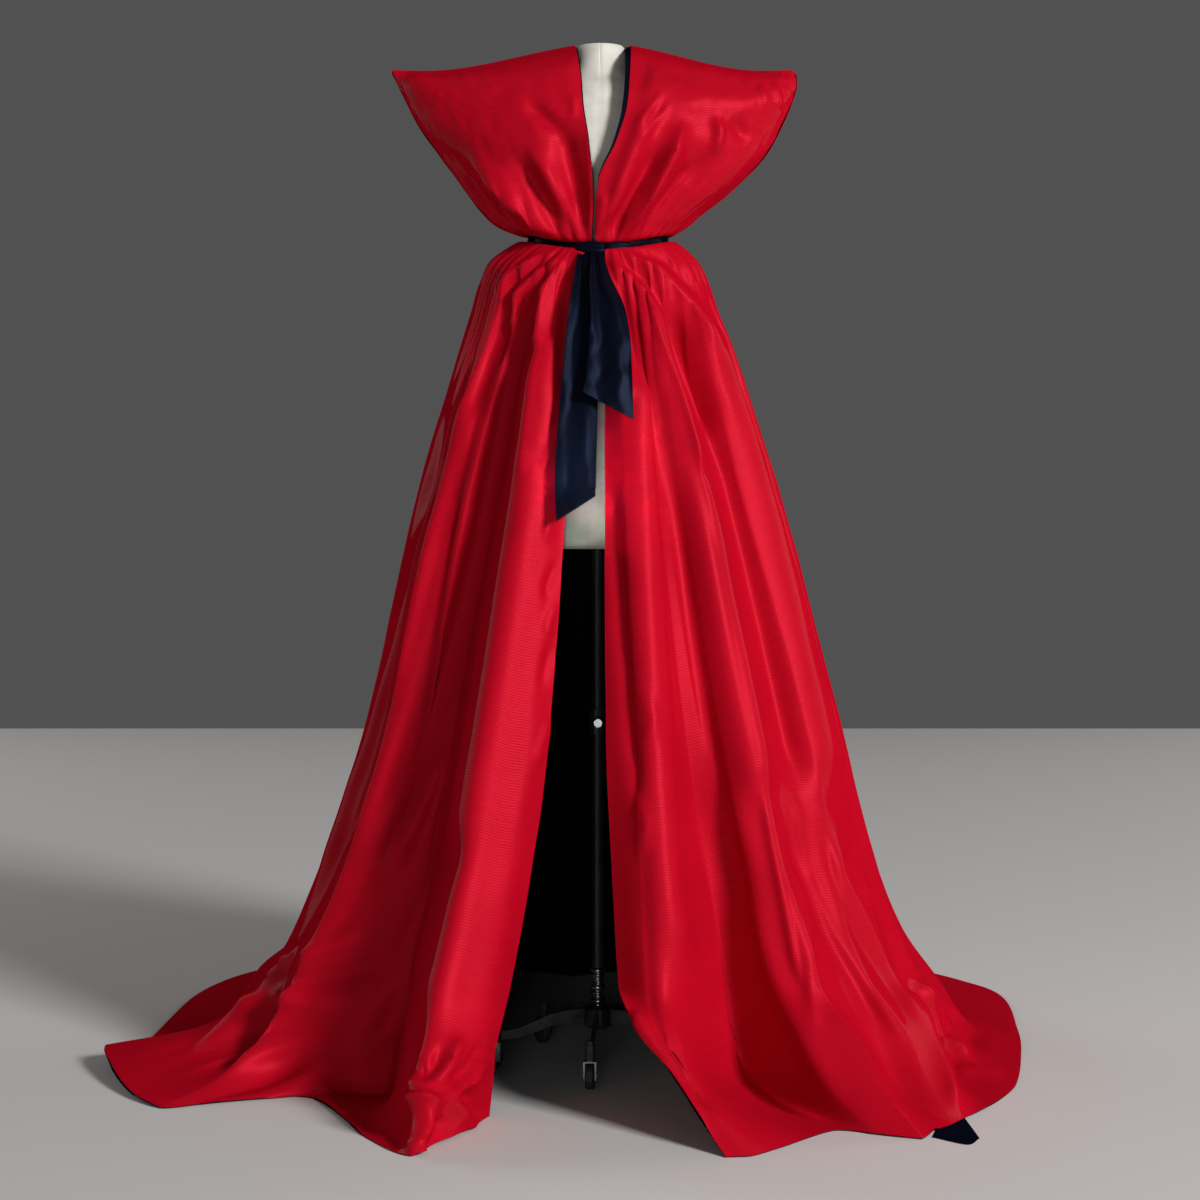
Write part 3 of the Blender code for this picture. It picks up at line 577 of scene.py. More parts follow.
def blend_colours(tree: Tree, share: Socket, low: str,
                  high: str) -> Socket:
    """A colour between two hex values, by a share.

    Args:
        tree: the material's tree.
        share: the share of the second colour.
        low: the first colour.
        high: the second colour.

    Returns:
        The colour's socket.
    """
    ramp = add_node(tree, "ShaderNodeValToRGB", links={"Fac": share})
    for element, code, position in zip(ramp.color_ramp.elements, (low, high), (0.25, 0.75)):
        element.color, element.position = linear(code), position
    return ramp.outputs["Color"]


def noise(tree: Tree, place: Socket, scale: float, detail: float,
          **more: float) -> Socket:
    """The height of a noise texture; further inputs go by their names."""
    settings = {"Scale": scale, "Detail": detail, **more}
    return add_node(tree, "ShaderNodeTexNoise", settings, {"Vector": place}).outputs["Fac"]


def threads(tree: Tree, place: Socket, axis: str, apart_mm: float,
            wander: dict[str, float]) -> Socket:
    """The height of parallel threads across an axis.

    Blender's wave is 2 pi / 20 units long at scale 1.
    """
    settings = {"bands_direction": axis, "Scale": 2 * math.pi / 20 * 1000 / apart_mm, **wander}
    return add_node(tree, "ShaderNodeTexWave", settings, {"Vector": place}).outputs["Fac"]


def bump(tree: Tree, height: Socket, strength: float, depth: float,
         under: Socket | None = None) -> Socket:
    """A bumped normal, laid over another one where it is given."""
    links = {"Height": height} if under is None else {"Height": height, "Normal": under}
    settings = {"Strength": strength, "Distance": depth}
    return add_node(tree, "ShaderNodeBump", settings, links).outputs["Normal"]


def spread(tree: Tree, value: Socket, low: float, high: float,
           start: float = 0.0, end: float = 1.0) -> Socket:
    """A value's stretch from start to end, moved onto one from low to high."""
    settings = {"From Min": start, "From Max": end, "To Min": low, "To Max": high}
    return add_node(tree, "ShaderNodeMapRange", settings, {"Value": value}).outputs["Result"]


def calculate(tree: Tree, operation: str, settings: dict, links: dict) -> Socket:
    """The outcome of one calculation."""
    return add_node(tree, "ShaderNodeMath", {"operation": operation, **settings}, links).outputs["Value"]


def close_tree(tree: Tree, settings: dict, links: dict) -> None:
    """Give a material its surface."""
    shader = add_node(tree, "ShaderNodeBsdfPrincipled", settings, links)
    add_node(tree, "ShaderNodeOutputMaterial", links={"Surface": shader.outputs["BSDF"]})


@dataclass(frozen=True)
class WovenSilk:
    """A woven silk: taffeta, a crisp plain weave with cross ribs, or satin, smooth with long floats.

    Plain weave scatters light along both threads, so it has a broad sheen and keeps sharp creases.
    Ribs are drawn 4.4 mm apart, coarser than the real 0.3 mm, so that they show. Its gloss belongs
    to cloth that faces the viewer: at a slant silk shows its own colour, so the gloss fades out.
    """

    name: str
    deep: str
    light: str
    roughness: float
    sheen: float
    sheen_tint: str
    rib_mm: float
    rib_depth: float
    crumple_mm: float
    crumple_depth: float
    gloss_tint: str
    gloss: float = 0.7
    gloss_slants: tuple[float, float] = (0.15, 0.50)
    slubs_to_a_metre: Point = (9.0, 620.0, 1.0)
    slub_share: float = 0.55

    def build(self) -> Material:
        """The material, on the piece's own UV map, whose unit is a metre of flat cloth.

        Returns:
            The material.
        """
        made, tree = new_material(self.name)
        place = add_node(tree, "ShaderNodeUVMap", {"uv_map": "Cloth"}).outputs["UV"]
        long = add_node(tree, "ShaderNodeMapping", {"Scale": self.slubs_to_a_metre}, {"Vector": place})
        slubs = noise(tree, long.outputs["Vector"], 1.0, 3.0, Roughness=0.6)
        broad = noise(tree, place, 6.0, 2.0)
        rest = calculate(tree, "MULTIPLY", {1: 1 - self.slub_share}, {0: broad})
        mixed = calculate(tree, "MULTIPLY_ADD", {1: self.slub_share}, {0: slubs, 2: rest})
        crumple = noise(tree, place, 1000 / self.crumple_mm, 3.0, Roughness=0.45, Distortion=0.4)
        wander = {"Distortion": 1.2, "Detail": 1.0, "Detail Scale": 3.0}
        ribs = threads(tree, place, "Y", self.rib_mm, wander)
        normal = bump(tree, ribs, 0.30, self.rib_depth)
        normal = bump(tree, slubs, 0.25, self.rib_depth, normal)
        normal = bump(tree, crumple, 0.5, self.crumple_depth, normal)
        slant = add_node(tree, "ShaderNodeLayerWeight", {"Blend": 0.5}).outputs["Facing"]
        close_tree(tree, {"IOR": 1.42, "Specular Tint": linear(self.gloss_tint), "Sheen Weight": self.sheen,
                          "Sheen Roughness": 0.4, "Sheen Tint": linear(self.sheen_tint)},
                   {"Base Color": blend_colours(tree, mixed, self.deep, self.light),
                    "Roughness": spread(tree, broad, self.roughness - 0.05, self.roughness + 0.06),
                    "Specular IOR Level": spread(tree, slant, self.gloss, 0.0, *self.gloss_slants),
                    "Normal": normal})
        return made


@dataclass(frozen=True)
class WovenLinen:
    """Unbleached linen stretched over the form: a matt open plain weave with uneven threads.

    Threads are drawn 1.6 mm apart, coarser than the real 0.6 mm, so that they show.
    """

    name: str = "unbleached_linen"
    deep: str = "#BDB8AE"
    light: str = "#DDD9D0"
    thread_mm: float = 1.6
    thread_depth: float = 0.0004

    def build(self) -> Material:
        """The material, in object coordinates."""
        made, tree = new_material(self.name)
        place = add_node(tree, "ShaderNodeTexCoord").outputs["Object"]
        wander = {"Distortion": 1.5}
        weft, warp = (threads(tree, place, axis, self.thread_mm, wander) for axis in ("Z", "X"))
        weave = calculate(tree, "MULTIPLY", {}, {0: weft, 1: warp})
        close_tree(tree, {"Roughness": 0.92, "Specular IOR Level": 0.3, "Sheen Weight": 0.1},
                   {"Base Color": blend_colours(tree, noise(tree, place, 25.0, 5.0), self.deep, self.light),
                    "Normal": bump(tree, weave, 0.5, self.thread_depth)})
        return made


@dataclass(frozen=True)
class HardFinish:
    """A hard surface: stove enamel on steel, bright turned steel or moulded rubber.

    Each has a fine grain and is a little uneven in gloss where it is handled.
    """

    name: str
    deep: str
    light: str
    metallic: float
    roughness: float
    grain_mm: float
    grain_depth: float

    def build(self) -> Material:
        """The material, in object coordinates."""
        made, tree = new_material(self.name)
        place = add_node(tree, "ShaderNodeTexCoord").outputs["Object"]
        grain = noise(tree, place, 1000 / self.grain_mm, 4.0)
        wear = noise(tree, place, 40.0, 6.0, Roughness=0.65)
        close_tree(tree, {"Metallic": self.metallic},
                   {"Base Color": blend_colours(tree, wear, self.deep, self.light),
                    "Roughness": spread(tree, wear, self.roughness - 0.08, self.roughness + 0.12),
                    "Normal": bump(tree, grain, 0.3, self.grain_depth)})
        return made


class Finishes:
    """Every finish of the object."""

    def __init__(self) -> None:
        """Build the materials."""
        self.taffeta = WovenSilk("silk_taffeta_red", "#9C0418", "#B60A20", 0.46, 0.05, "#FF2840",
                                 4.4005, 0.00050, 18.0, 0.0006, "#FF4058").build()
        self.satin = WovenSilk("silk_satin_navy", "#03050C", "#080C18", 0.43, 0.03, "#4A5C8C",
                               3.4575, 0.00006, 30.0, 0.0004, "#3E4968").build()
        self.linen = WovenLinen().build()
        self.enamel = HardFinish("stove_enamel_black", "#131315", "#232327",
                                 0.0, 0.30, 1.5, 0.00008).build()
        self.steel = HardFinish("turned_steel_bright", "#8C8E92", "#B4B6BA",
                                1.0, 0.24, 0.6, 0.00003).build()
        self.strap = HardFinish("blackened_steel_strap", "#3A3A3D", "#5C5C60",
                                0.75, 0.36, 2.5, 0.00015).build()
        self.rubber = HardFinish("moulded_rubber_grey", "#1E1F21", "#34363A",
                                 0.0, 0.62, 1.0, 0.00010).build()


# ---------------------------------------------------------------- the skirt


@dataclass(frozen=True)
class Section:
    """A level of the hanging skirt: drop below the waist seam, reach each way and gather depth."""

    drop: float
    left: float
    right: float
    front: float
    back: float
    gather: float


@dataclass(frozen=True)
class Fold:
    """A fold line: degrees from the front at the waist and mid height, reach, the point where it
    leaves the hanging part, its hem point, how crisp it is and how soon it lies flat."""

    name: str
    waist: float
    mid: float
    reach: float
    low: Point
    hem: Point
    crisp: float
    flat: float


SECTIONS = (
    Section(0.0000, 0.1085, 0.1085, 0.0875, 0.0875, 0.0040),
    Section(0.0100, 0.1085, 0.1085, 0.0875, 0.0875, 0.0030),
    Section(0.0108, 0.1225, 0.1215, 0.1015, 0.1015, 0.0015),
    Section(0.0012, 0.1300, 0.1285, 0.1080, 0.1100, 0.0045),
    Section(0.0150, 0.1560, 0.1480, 0.1150, 0.1300, 0.0090),
    Section(0.0420, 0.1870, 0.1725, 0.1290, 0.1500, 0.0100),
    Section(0.1200, 0.2130, 0.2030, 0.1560, 0.1850, 0.0060),
    Section(0.2400, 0.2510, 0.2410, 0.1900, 0.2350, 0.0025),
    Section(0.4200, 0.3060, 0.2960, 0.2340, 0.3150, 0.0),
    Section(0.8400, 0.4040, 0.4150, 0.3350, 0.5350, 0.0),
    Section(1.0400, 0.4760, 0.4630, 0.3850, 0.6450, 0.0),
    Section(1.2000, 0.5550, 0.5150, 0.4350, 0.7450, 0.0),
)
LEFT_FOLDS = (
    Fold("edge", 8, 11.3, 0.90, (-0.160, -0.375, 0.100), (-0.168, -0.368, 0.0013), 1.0, 0.0),
    Fold("front ridge", 14, 17, 0.99, (-0.195, -0.470, 0.090), (-0.215, -0.500, 0.005), 0.0, 0.2),
    Fold("front corner", 21, 26, 1.02, (-0.270, -0.510, 0.100), (-0.272, -0.601, 0.002), 0.25, 0.1),
    Fold("flank", 25, 35, 0.93, (-0.315, -0.370, 0.035), (-0.350, -0.490, 0.0013), 0.0, 0.5),
    Fold("deep valley", 30, 48, 0.80, (-0.345, -0.238, 0.004), (-0.455, -0.252, 0.0013), 0.3, 1.0),
    Fold("lobe ridge", 37, 53, 0.90, (-0.440, -0.205, 0.055), (-0.540, -0.262, 0.003), 0.5, 0.4),
    Fold("lobe hollow", 44, 58, 0.89, (-0.500, -0.190, 0.035), (-0.620, -0.290, 0.003), 0.0, 0.6),
    Fold("lobe corner", 52, 63, 0.97, (-0.545, -0.175, 0.085), (-0.688, -0.317, 0.003), 0.4, 0.5),
    Fold("crease", 61, 70, 0.93, (-0.565, -0.120, 0.050), (-0.755, -0.235, 0.014), 0.0, 0.4),
    Fold("side ridge", 71, 79, 1.00, (-0.590, -0.070, 0.120), (-0.812, -0.100, 0.030), 0.0, 0.5),
    Fold("side seam", 82, 89, 0.985, (-0.590, 0.020, 0.110), (-0.835, -0.007, 0.032), 0.4, 0.5),
    Fold("back ridge", 93, 99, 1.01, (-0.585, 0.120, 0.145), (-0.790, 0.100, 0.010), 0.5, 0.9),
)
RIGHT_FOLDS = (
    Fold("edge", 5, 1.2, 0.90, (0.043, -0.420, 0.180), (0.186, -0.606, 0.0013), 1.0, 0.0),
    Fold("front ridge", 10, 8.5, 1.01, (0.085, -0.470, 0.150), (0.225, -0.600, 0.002), 0.3, 0.1),
    Fold("flank", 15, 15.8, 0.99, (0.128, -0.470, 0.125), (0.268, -0.557, 0.002), 0.0, 0.3),
    Fold("deep valley", 20, 19, 0.95, (0.230, -0.270, 0.040), (0.358, -0.453, 0.0013), 0.3, 0.9),
    Fold("lobe ridge", 26, 27.5, 1.00, (0.310, -0.370, 0.130), (0.426, -0.482, 0.003), 0.3, 0.3),
    Fold("main ridge", 33, 35.2, 1.01, (0.400, -0.400, 0.130), (0.486, -0.505, 0.002), 0.8, 0.2),
    Fold("valley", 41, 45, 0.93, (0.440, -0.310, 0.080), (0.514, -0.453, 0.0013), 0.0, 0.4),
    Fold("outer ridge", 49, 56.4, 1.00, (0.490, -0.280, 0.110), (0.545, -0.415, 0.002), 0.4, 0.2),
    Fold("lobe corner", 58, 73, 1.00, (0.535, -0.200, 0.120), (0.570, -0.380, 0.003), 0.6, 0.1),
    Fold("crease", 67, 82, 0.95, (0.550, -0.080, 0.030), (0.618, -0.304, 0.0013), 0.0, 0.8),
    Fold("side ridge", 76, 90, 1.00, (0.590, 0.020, 0.080), (0.679, -0.179, 0.003), 0.3, 0.7),
    Fold("side seam", 86, 98, 0.985, (0.605, 0.140, 0.060), (0.719, 0.000, 0.004), 0.0, 0.9),
    Fold("back ridge", 97, 106, 1.00, (0.610, 0.270, 0.090), (0.752, 0.220, 0.003), 0.3, 0.9),
)

LEFT_CREASES = (
    # pleats that fan from the knot
    sharp(10, 9, 0.15, "570,257 556,268 545,288 540,320 538,352"),
    soft(-8, 8, 0.2, "572,262 560,280 552,310 548,345"),
    sharp(11, 10, 0.15, "568,254 540,272 516,296 503,336"),
    soft(-10, 9, 0.2, "570,258 548,272 526,294 514,322"),
    sharp(8, 8, 0.2, "562,252 535,260 508,276 494,300"),
    soft(-7, 8, 0.2, "566,254 538,265 510,286 500,310"),
    soft(-10, 11, 0.25, "572,278 564,312 562,360 562,410"),
    # the dark valley beside the bright front panel, from the waist to the floor
    soft(-14, 28, 0.12, "526,272 517,330 508,400 495,470 480,540 464,600 446,660 430,715 412,765 396,810 "
                        "380,850"),
    soft(-14, 15, 0.25, "514,290 500,325 488,355 478,390 468,430"),
    # the bright front panel's own roundness
    soft(20, 34, 0.1, "546,320 538,400 526,500 510,600 492,700 476,780 462,850 448,920 434,990 420,1050"),
    sharp(6, 9, 0.18, "545,280 541,340 530,420 520,490"),
    # the second fold and the deepest valley beside it, lower down
    soft(12, 20, 0.25, "446,740 430,785 410,830 385,880"),
    soft(-22, 22, 0.2, "466,812 450,863 432,915 420,960 404,1000 380,1040 350,1064"),
    sharp(10, 12, 0.25, "452,781 444,832 432,880 414,924 392,975"),
    # the side's long soft folds
    soft(16, 30, 0.15, "484,330 466,420 444,520 424,610 402,700 376,780 346,860"),
    soft(-12, 22, 0.2, "470,400 448,500 424,600 398,690 366,780 330,860"),
    soft(10, 18, 0.2, "440,480 420,570 400,650 372,740 338,830 305,905"),
    # where the side meets the floor
    sharp(8, 12, 0.3, "254,966 272,974 286,988 270,1000"),
    sharp(10, 14, 0.25, "258,962 290,958 335,945 375,925"),
    sharp(8, 13, 0.3, "198,1020 228,1006 262,996"),
    soft(-10, 12, 0.3, "215,1004 245,994 262,984"),
    soft(-10, 16, 0.25, "262,985 305,982 350,974 392,962"),
    soft(10, 16, 0.25, "196,1004 250,996 310,1000 372,1006"),
    soft(-6, 14, 0.3, "222,1003 182,1044 141,1054"),
    soft(8, 14, 0.25, "335,1030 285,1046 220,1066 160,1084"),
    soft(-7, 14, 0.25, "310,1018 245,1034 180,1054"),
    # puckers of the hem's front corner
    sharp(16, 11, 0.15, "402,1074 423,1091 446,1068 462,1036"),
    soft(-14, 10, 0.25, "412,1060 430,1076 446,1046"),
    sharp(15, 11, 0.15, "394,1096 434,1103 473,1078 492,1052"),
    soft(-13, 11, 0.25, "446,1090 470,1068 486,1040"),
    sharp(18, 13, 0.15, "424,1092 427,1128 412,1156"),
    soft(-15, 13, 0.25, "442,1112 438,1136 424,1154"),
    sharp(12, 10, 0.2, "476,1134 460,1110 444,1098"),
    soft(-11, 10, 0.25, "482,1120 470,1100 456,1092"),
    soft(-14, 14, 0.25, "404,1106 398,1126 384,1144"),
    sharp(14, 14, 0.2, "316,1078 330,1110 368,1134"),
    soft(-12, 16, 0.25, "345,1078 362,1104 386,1120"),
    # small wavy puckers along the front edge
    soft(4.5, 8, 0.3, "558,436 549,458 544,474"),
    soft(4.5, 8, 0.3, "558,502 548,524 544,546"),
    soft(-4, 8, 0.3, "558,560 548,580 543,600"),
    soft(4.5, 8, 0.3, "556,600 548,622 545,642"),
    soft(-4, 8, 0.3, "554,640 546,664 541,690"),
    soft(4, 8, 0.3, "550,716 542,744 534,770"),
)
RIGHT_CREASES = (
    # pleats that fan from the knot
    sharp(13, 10, 0.12, "605,256 628,276 653,306 670,362 684,420 698,480"),
    soft(-13, 12, 0.15, "610,254 642,276 676,322 700,386 718,440"),
    sharp(9, 10, 0.2, "616,250 654,266 692,306 716,356"),
    soft(-7, 9, 0.25, "628,249 668,262 702,298"),
    sharp(10, 10, 0.15, "602,262 614,300 622,350 628,410"),
    soft(-8, 9, 0.25, "606,264 624,300 634,350 640,400"),
    # the broad bright fold beside the opening
    soft(16, 26, 0.12, "636,330 640,440 644,560 650,680 656,790 668,900 690,1000"),
    soft(-10, 14, 0.25, "610,430 616,540 624,640 632,740 640,830"),
    # the long crisp ridge from the sash, with a dark valley at its right
    soft(20, 24, 0.1, "634,276 660,370 686,470 706,560 722,640 744,740 762,820"),
    sharp(9, 9, 0.12, "640,280 670,380 698,480 720,560 735,640 752,725 765,800"),
    sharp(10, 10, 0.2, "759,780 771,842 784,903 796,964 806,995"),
    soft(-26, 24, 0.12, "660,290 694,380 730,480 752,570 770,650 790,740 806,800"),
    soft(-18, 22, 0.2, "668,420 680,520 692,620 706,720 722,820 742,920 764,1010"),
    soft(18, 24, 0.12, "690,290 728,380 762,480 784,560 802,640 822,720 838,800"),
    # the folds that open out below the knee
    sharp(14, 16, 0.2, "775,770 796,827 812,882 835,933 865,980 906,1046"),
    soft(-18, 20, 0.25, "784,800 806,870 832,930 866,990 896,1050"),
    sharp(12, 13, 0.2, "831,821 841,872 849,891 886,964 916,1015 934,1030"),
    soft(-12, 16, 0.25, "822,810 834,866 858,930 895,990 925,1042"),
    soft(-14, 26, 0.25, "690,760 712,840 738,920 768,1000 800,1066 830,1112"),
    soft(14, 24, 0.25, "720,860 748,930 776,990 806,1050 846,1110"),
    sharp(10, 13, 0.25, "796,862 806,940 816,1041"),
    sharp(7, 9, 0.25, "856,886 884,902 902,912"),
    # taut lines and puckers near the floor
    sharp(12, 12, 0.12, "628,1008 652,1044 684,1100 706,1142"),
    soft(-12, 14, 0.25, "650,1016 680,1066 716,1116"),
    sharp(9, 13, 0.25, "716,1010 742,1060 784,1105 835,1132"),
    sharp(14, 13, 0.25, "905,985 945,1008 985,1020"),
    sharp(10, 12, 0.25, "990,990 1004,1015 1014,1040"),
    sharp(12, 12, 0.25, "936,1040 966,1052 1004,1050"),
    sharp(10, 12, 0.25, "950,1076 978,1072 1006,1074"),
    sharp(14, 12, 0.15, "911,974 934,1028 944,1060 956,1116"),
    soft(4.5, 9, 0.3, "642,690 650,720 646,750"),
    soft(-4, 8, 0.3, "630,734 638,770 634,805"),
    soft(4.5, 9, 0.3, "638,790 646,825 641,860"),
)


@dataclass
class Skirt:
    """The gathered skirt with its train: four panels of taffeta, each with its satin lining."""

    waist: float = 1.396
    waist_dip: float = 0.022
    mid_drop: float = 0.69
    low_drop: float = 1.30
    floor_reach: tuple[float, float, float, float] = (0.62, 0.58, 0.52, 0.80)
    train_half: float = 0.785
    train_back: float = 0.90
    train_square: float = 5.0
    train_midway: float = 0.45
    bed: float = 0.0013
    # the folds behind: how many, the first angle and the turn of their low points and of their hem
    # points, and reach and height of a valley and of a ridge
    back_folds: int = 9
    back_low: tuple[float, float] = (100, 150)
    back_hem: tuple[float, float] = (108, 144)
    valley_reach: float = 0.92
    valley_low_reach: float = 0.93
    valley_height: float = 0.008
    ridge_height: float = 0.090
    ridge_crisp: float = 0.3
    front_step: int = 18
    back_step: int = 15
    rows: int = 190
    seam_gap: float = 0.0003
    cloth: float = 0.0008
    lining_gap: float = 0.0020
    hem_thinner: float = 0.7
    # rows: crowded at the waist's rim, then ever further apart
    rim_rows: int = 6
    row_share: float = 0.65
    row_growth: float = 1.35
    # gathers at the waist: how many, how far they wander in radians, how pointed and uneven they are,
    # and their size in front and behind
    gathers: int = 46
    gather_drift: float = 2.16
    gather_point: float = 1.4
    gather_uneven: float = 0.38
    gather_size: tuple[float, float] = (0.42, 0.52)
    # the back's hanging folds, the ripples of the train and the cloth's own crumple
    fan_height: float = 0.008
    ripple_height: float = 0.013
    crumple_height: float = 0.0008

    def waist_height(self, degrees: np.ndarray | float) -> np.ndarray:
        """Height of the waist seam: a constant, less a dip by the squared cosine at the front."""
        return self.waist - self.waist_dip * np.maximum(np.cos(np.radians(degrees)), 0.0) ** 2

    def ellipse(
        self, degrees: float, size: tuple[float, float, float, float], reach: float
    ) -> tuple[float, float]:
        """A point at an angle from the front by the left, on an ellipse with four half-axes.

        Args:
            degrees: the angle.
            size: reach to the left, right, front and back.
            reach: share of it.

        Returns:
            X and Y.
        """
        turn = math.radians(degrees)
        side = size[0] if math.sin(turn) > 0 else size[1]
        deep = size[2] if math.cos(turn) > 0 else size[3]
        return -side * reach * math.sin(turn), -deep * reach * math.cos(turn)

    def low_angle(self, x: float, y: float) -> tuple[float, float]:
        """Angle and reach of a floor point against the floor section."""
        side = self.floor_reach[0] if x < 0 else self.floor_reach[1]
        deep = self.floor_reach[2] if y < 0 else self.floor_reach[3]
        return math.degrees(math.atan2(-x / side, -y / deep)) % 360, math.hypot(x / side, y / deep)

    def hem_behind(self, degrees: float) -> tuple[float, float]:
        """Point of the squared-off hem of the train at an angle: a superellipse."""
        turn = math.radians(degrees)
        side, deep = -math.sin(turn), -math.cos(turn)
        power = self.train_square
        size = (abs(side) ** power + abs(deep) ** power) ** (-1 / power)
        return self.train_half * side * size, self.train_back * deep * size

    def folds(self) -> list[Fold]:
        """Every fold line from the left front edge round the back to the right front edge."""
        around = [Fold(f.name, 360 - f.waist, 360 - f.mid, f.reach, f.low, f.hem, f.crisp, f.flat)
                  for f in reversed(RIGHT_FOLDS)]
        start, end = LEFT_FOLDS[-1], around[0]
        behind = []
        for k in range(1, self.back_folds + 1):
            share = k / (self.back_folds + 1)
            valley = bool(k % 2)
            size = tuple(reach * (self.valley_low_reach if valley else 1.0) for reach in self.floor_reach)
            low = self.ellipse(self.back_low[0] + self.back_low[1] * share, size, 1.0)
            hem = self.hem_behind(self.back_hem[0] + self.back_hem[1] * share)
            behind.append(Fold("back valley" if valley else "back ridge",
                               start.waist + (end.waist - start.waist) * share,
                               start.mid + (end.mid - start.mid) * share,
                               self.valley_reach if valley else 1.0,
                               (*low, self.valley_height if valley else self.ridge_height),
                               (*hem, self.bed), 0.0 if valley else self.ridge_crisp, 1.0))
        return [*LEFT_FOLDS, *behind, *around]

    def net(self, folds: list[Fold]) -> np.ndarray:
        """Points of each fold line: the hanging sections, where it leaves them, midway and hem.

        Args:
            folds: the fold lines.

        Returns:
            (folds, levels, 3).
        """
        made = []
        for fold in folds:
            low_deg, low_reach = self.low_angle(fold.low[0], fold.low[1])
            low_deg += 360 if fold.mid > 300 and low_deg < 60 else 0
            line = []
            for section in SECTIONS:
                upper = min(section.drop / self.mid_drop, 1.0)
                lower = min(max(section.drop - self.mid_drop, 0.0) / (self.low_drop - self.mid_drop), 1.0)
                degrees = fold.waist + (fold.mid - fold.waist) * upper**0.6 + (low_deg - fold.mid) * lower
                reach = 1 + (fold.reach - 1) * upper**0.5 + (low_reach - fold.reach) * lower
                size = (section.left, section.right, section.front, section.back)
                height = float(self.waist_height(degrees)) * (1 - section.drop / self.waist)
                line.append((*self.ellipse(degrees, size, reach), height))
            low, hem = np.array(fold.low), np.array(fold.hem)
            midway = low + (hem - low) * self.train_midway
            rise = (low[2] - hem[2]) * (1 - self.train_midway) * (1 - fold.flat)
            midway[2] = max(hem[2] + rise, self.bed)
            made.append([*line, tuple(low), tuple(midway), tuple(hem)])
        return np.array(made)

    def starts(self, folds: list[Fold]) -> np.ndarray:
        """The column of each fold line; the front has more columns between its lines than the back."""
        number = np.arange(len(folds) - 1)
        behind = (number >= len(LEFT_FOLDS) - 1) & (number < len(folds) - len(RIGHT_FOLDS))
        return np.concatenate([[0], np.cumsum(np.where(behind, self.back_step, self.front_step))])

    def places(self, folds: list[Fold]) -> np.ndarray:
        """Each column's place among the fold lines: the line's number and the share to the next."""
        starts = self.starts(folds)
        return np.interp(np.arange(starts[-1] + 1), starts, np.arange(len(folds)))

    def across(self, net: np.ndarray, folds: list[Fold]) -> np.ndarray:
        """Columns between the fold lines: cubics, rounded at soft lines and creased at crisp ones.

        Args:
            net: points of the fold lines.
            folds: the fold lines.

        Returns:
            (columns, levels, 3).
        """
        crisp = np.array([fold.crisp for fold in folds])[:, None, None]
        chord = net[1:] - net[:-1]
        smooth = np.concatenate([chord[:1], (net[2:] - net[:-2]) / 2, chord[-1:]])
        leaving = smooth[:-1] * (1 - crisp[:-1]) + chord * crisp[:-1]
        arriving = smooth[1:] * (1 - crisp[1:]) + chord * crisp[1:]
        place = self.places(folds)
        line = np.minimum(place.astype(int), len(folds) - 2)
        t = (place - line)[:, None, None]
        return cubic(t, net[line], leaving[line], net[line + 1], arriving[line])

    def surface(self) -> tuple[np.ndarray, np.ndarray]:
        """The whole skirt as one fine grid.

        Returns:
            The grid, and the share of the way down of each row.
        """
        folds = self.folds()
        coarse = self.across(self.net(folds), folds)
        steps = np.linalg.norm(np.diff(coarse, axis=1), axis=-1).mean(0)
        knots = np.concatenate([[0.0], np.cumsum(steps)])
        at = np.linspace(0, 1, self.rows)
        at = knots[-1] * ((1 - self.row_share) * at + self.row_share * at**self.row_growth)
        at[: self.rim_rows] = np.linspace(0, knots[1], self.rim_rows)
        grid = np.moveaxis(through(np.moveaxis(coarse, 1, 2), knots, at), 2, 1)
        size = grid.shape[:2]
        depth = np.interp(at, knots[: len(SECTIONS)], [section.gather for section in SECTIONS], right=0.0)
        waists = [fold.waist for fold in folds]
        angles = np.interp(self.places(folds), np.arange(len(folds)), waists)[:, None]
        drift = self.gather_drift * hills(size, (24, 5), SEED)
        wave = 1 - np.abs(np.sin(np.radians(angles) * self.gathers / 2 + drift)) ** self.gather_point
        wave *= 1 - self.gather_uneven + self.gather_uneven * hills(size, (40, 4), SEED + 1)
        front, back = self.gather_size
        wave *= front + (back - front) * ease(np.minimum(angles, 360 - angles), 30.0, 70.0)
        level = grid * np.array([1.0, 1.0, 0.0])
        return grid + unit(level) * (wave * depth[None, :])[..., None], at / knots[-1]

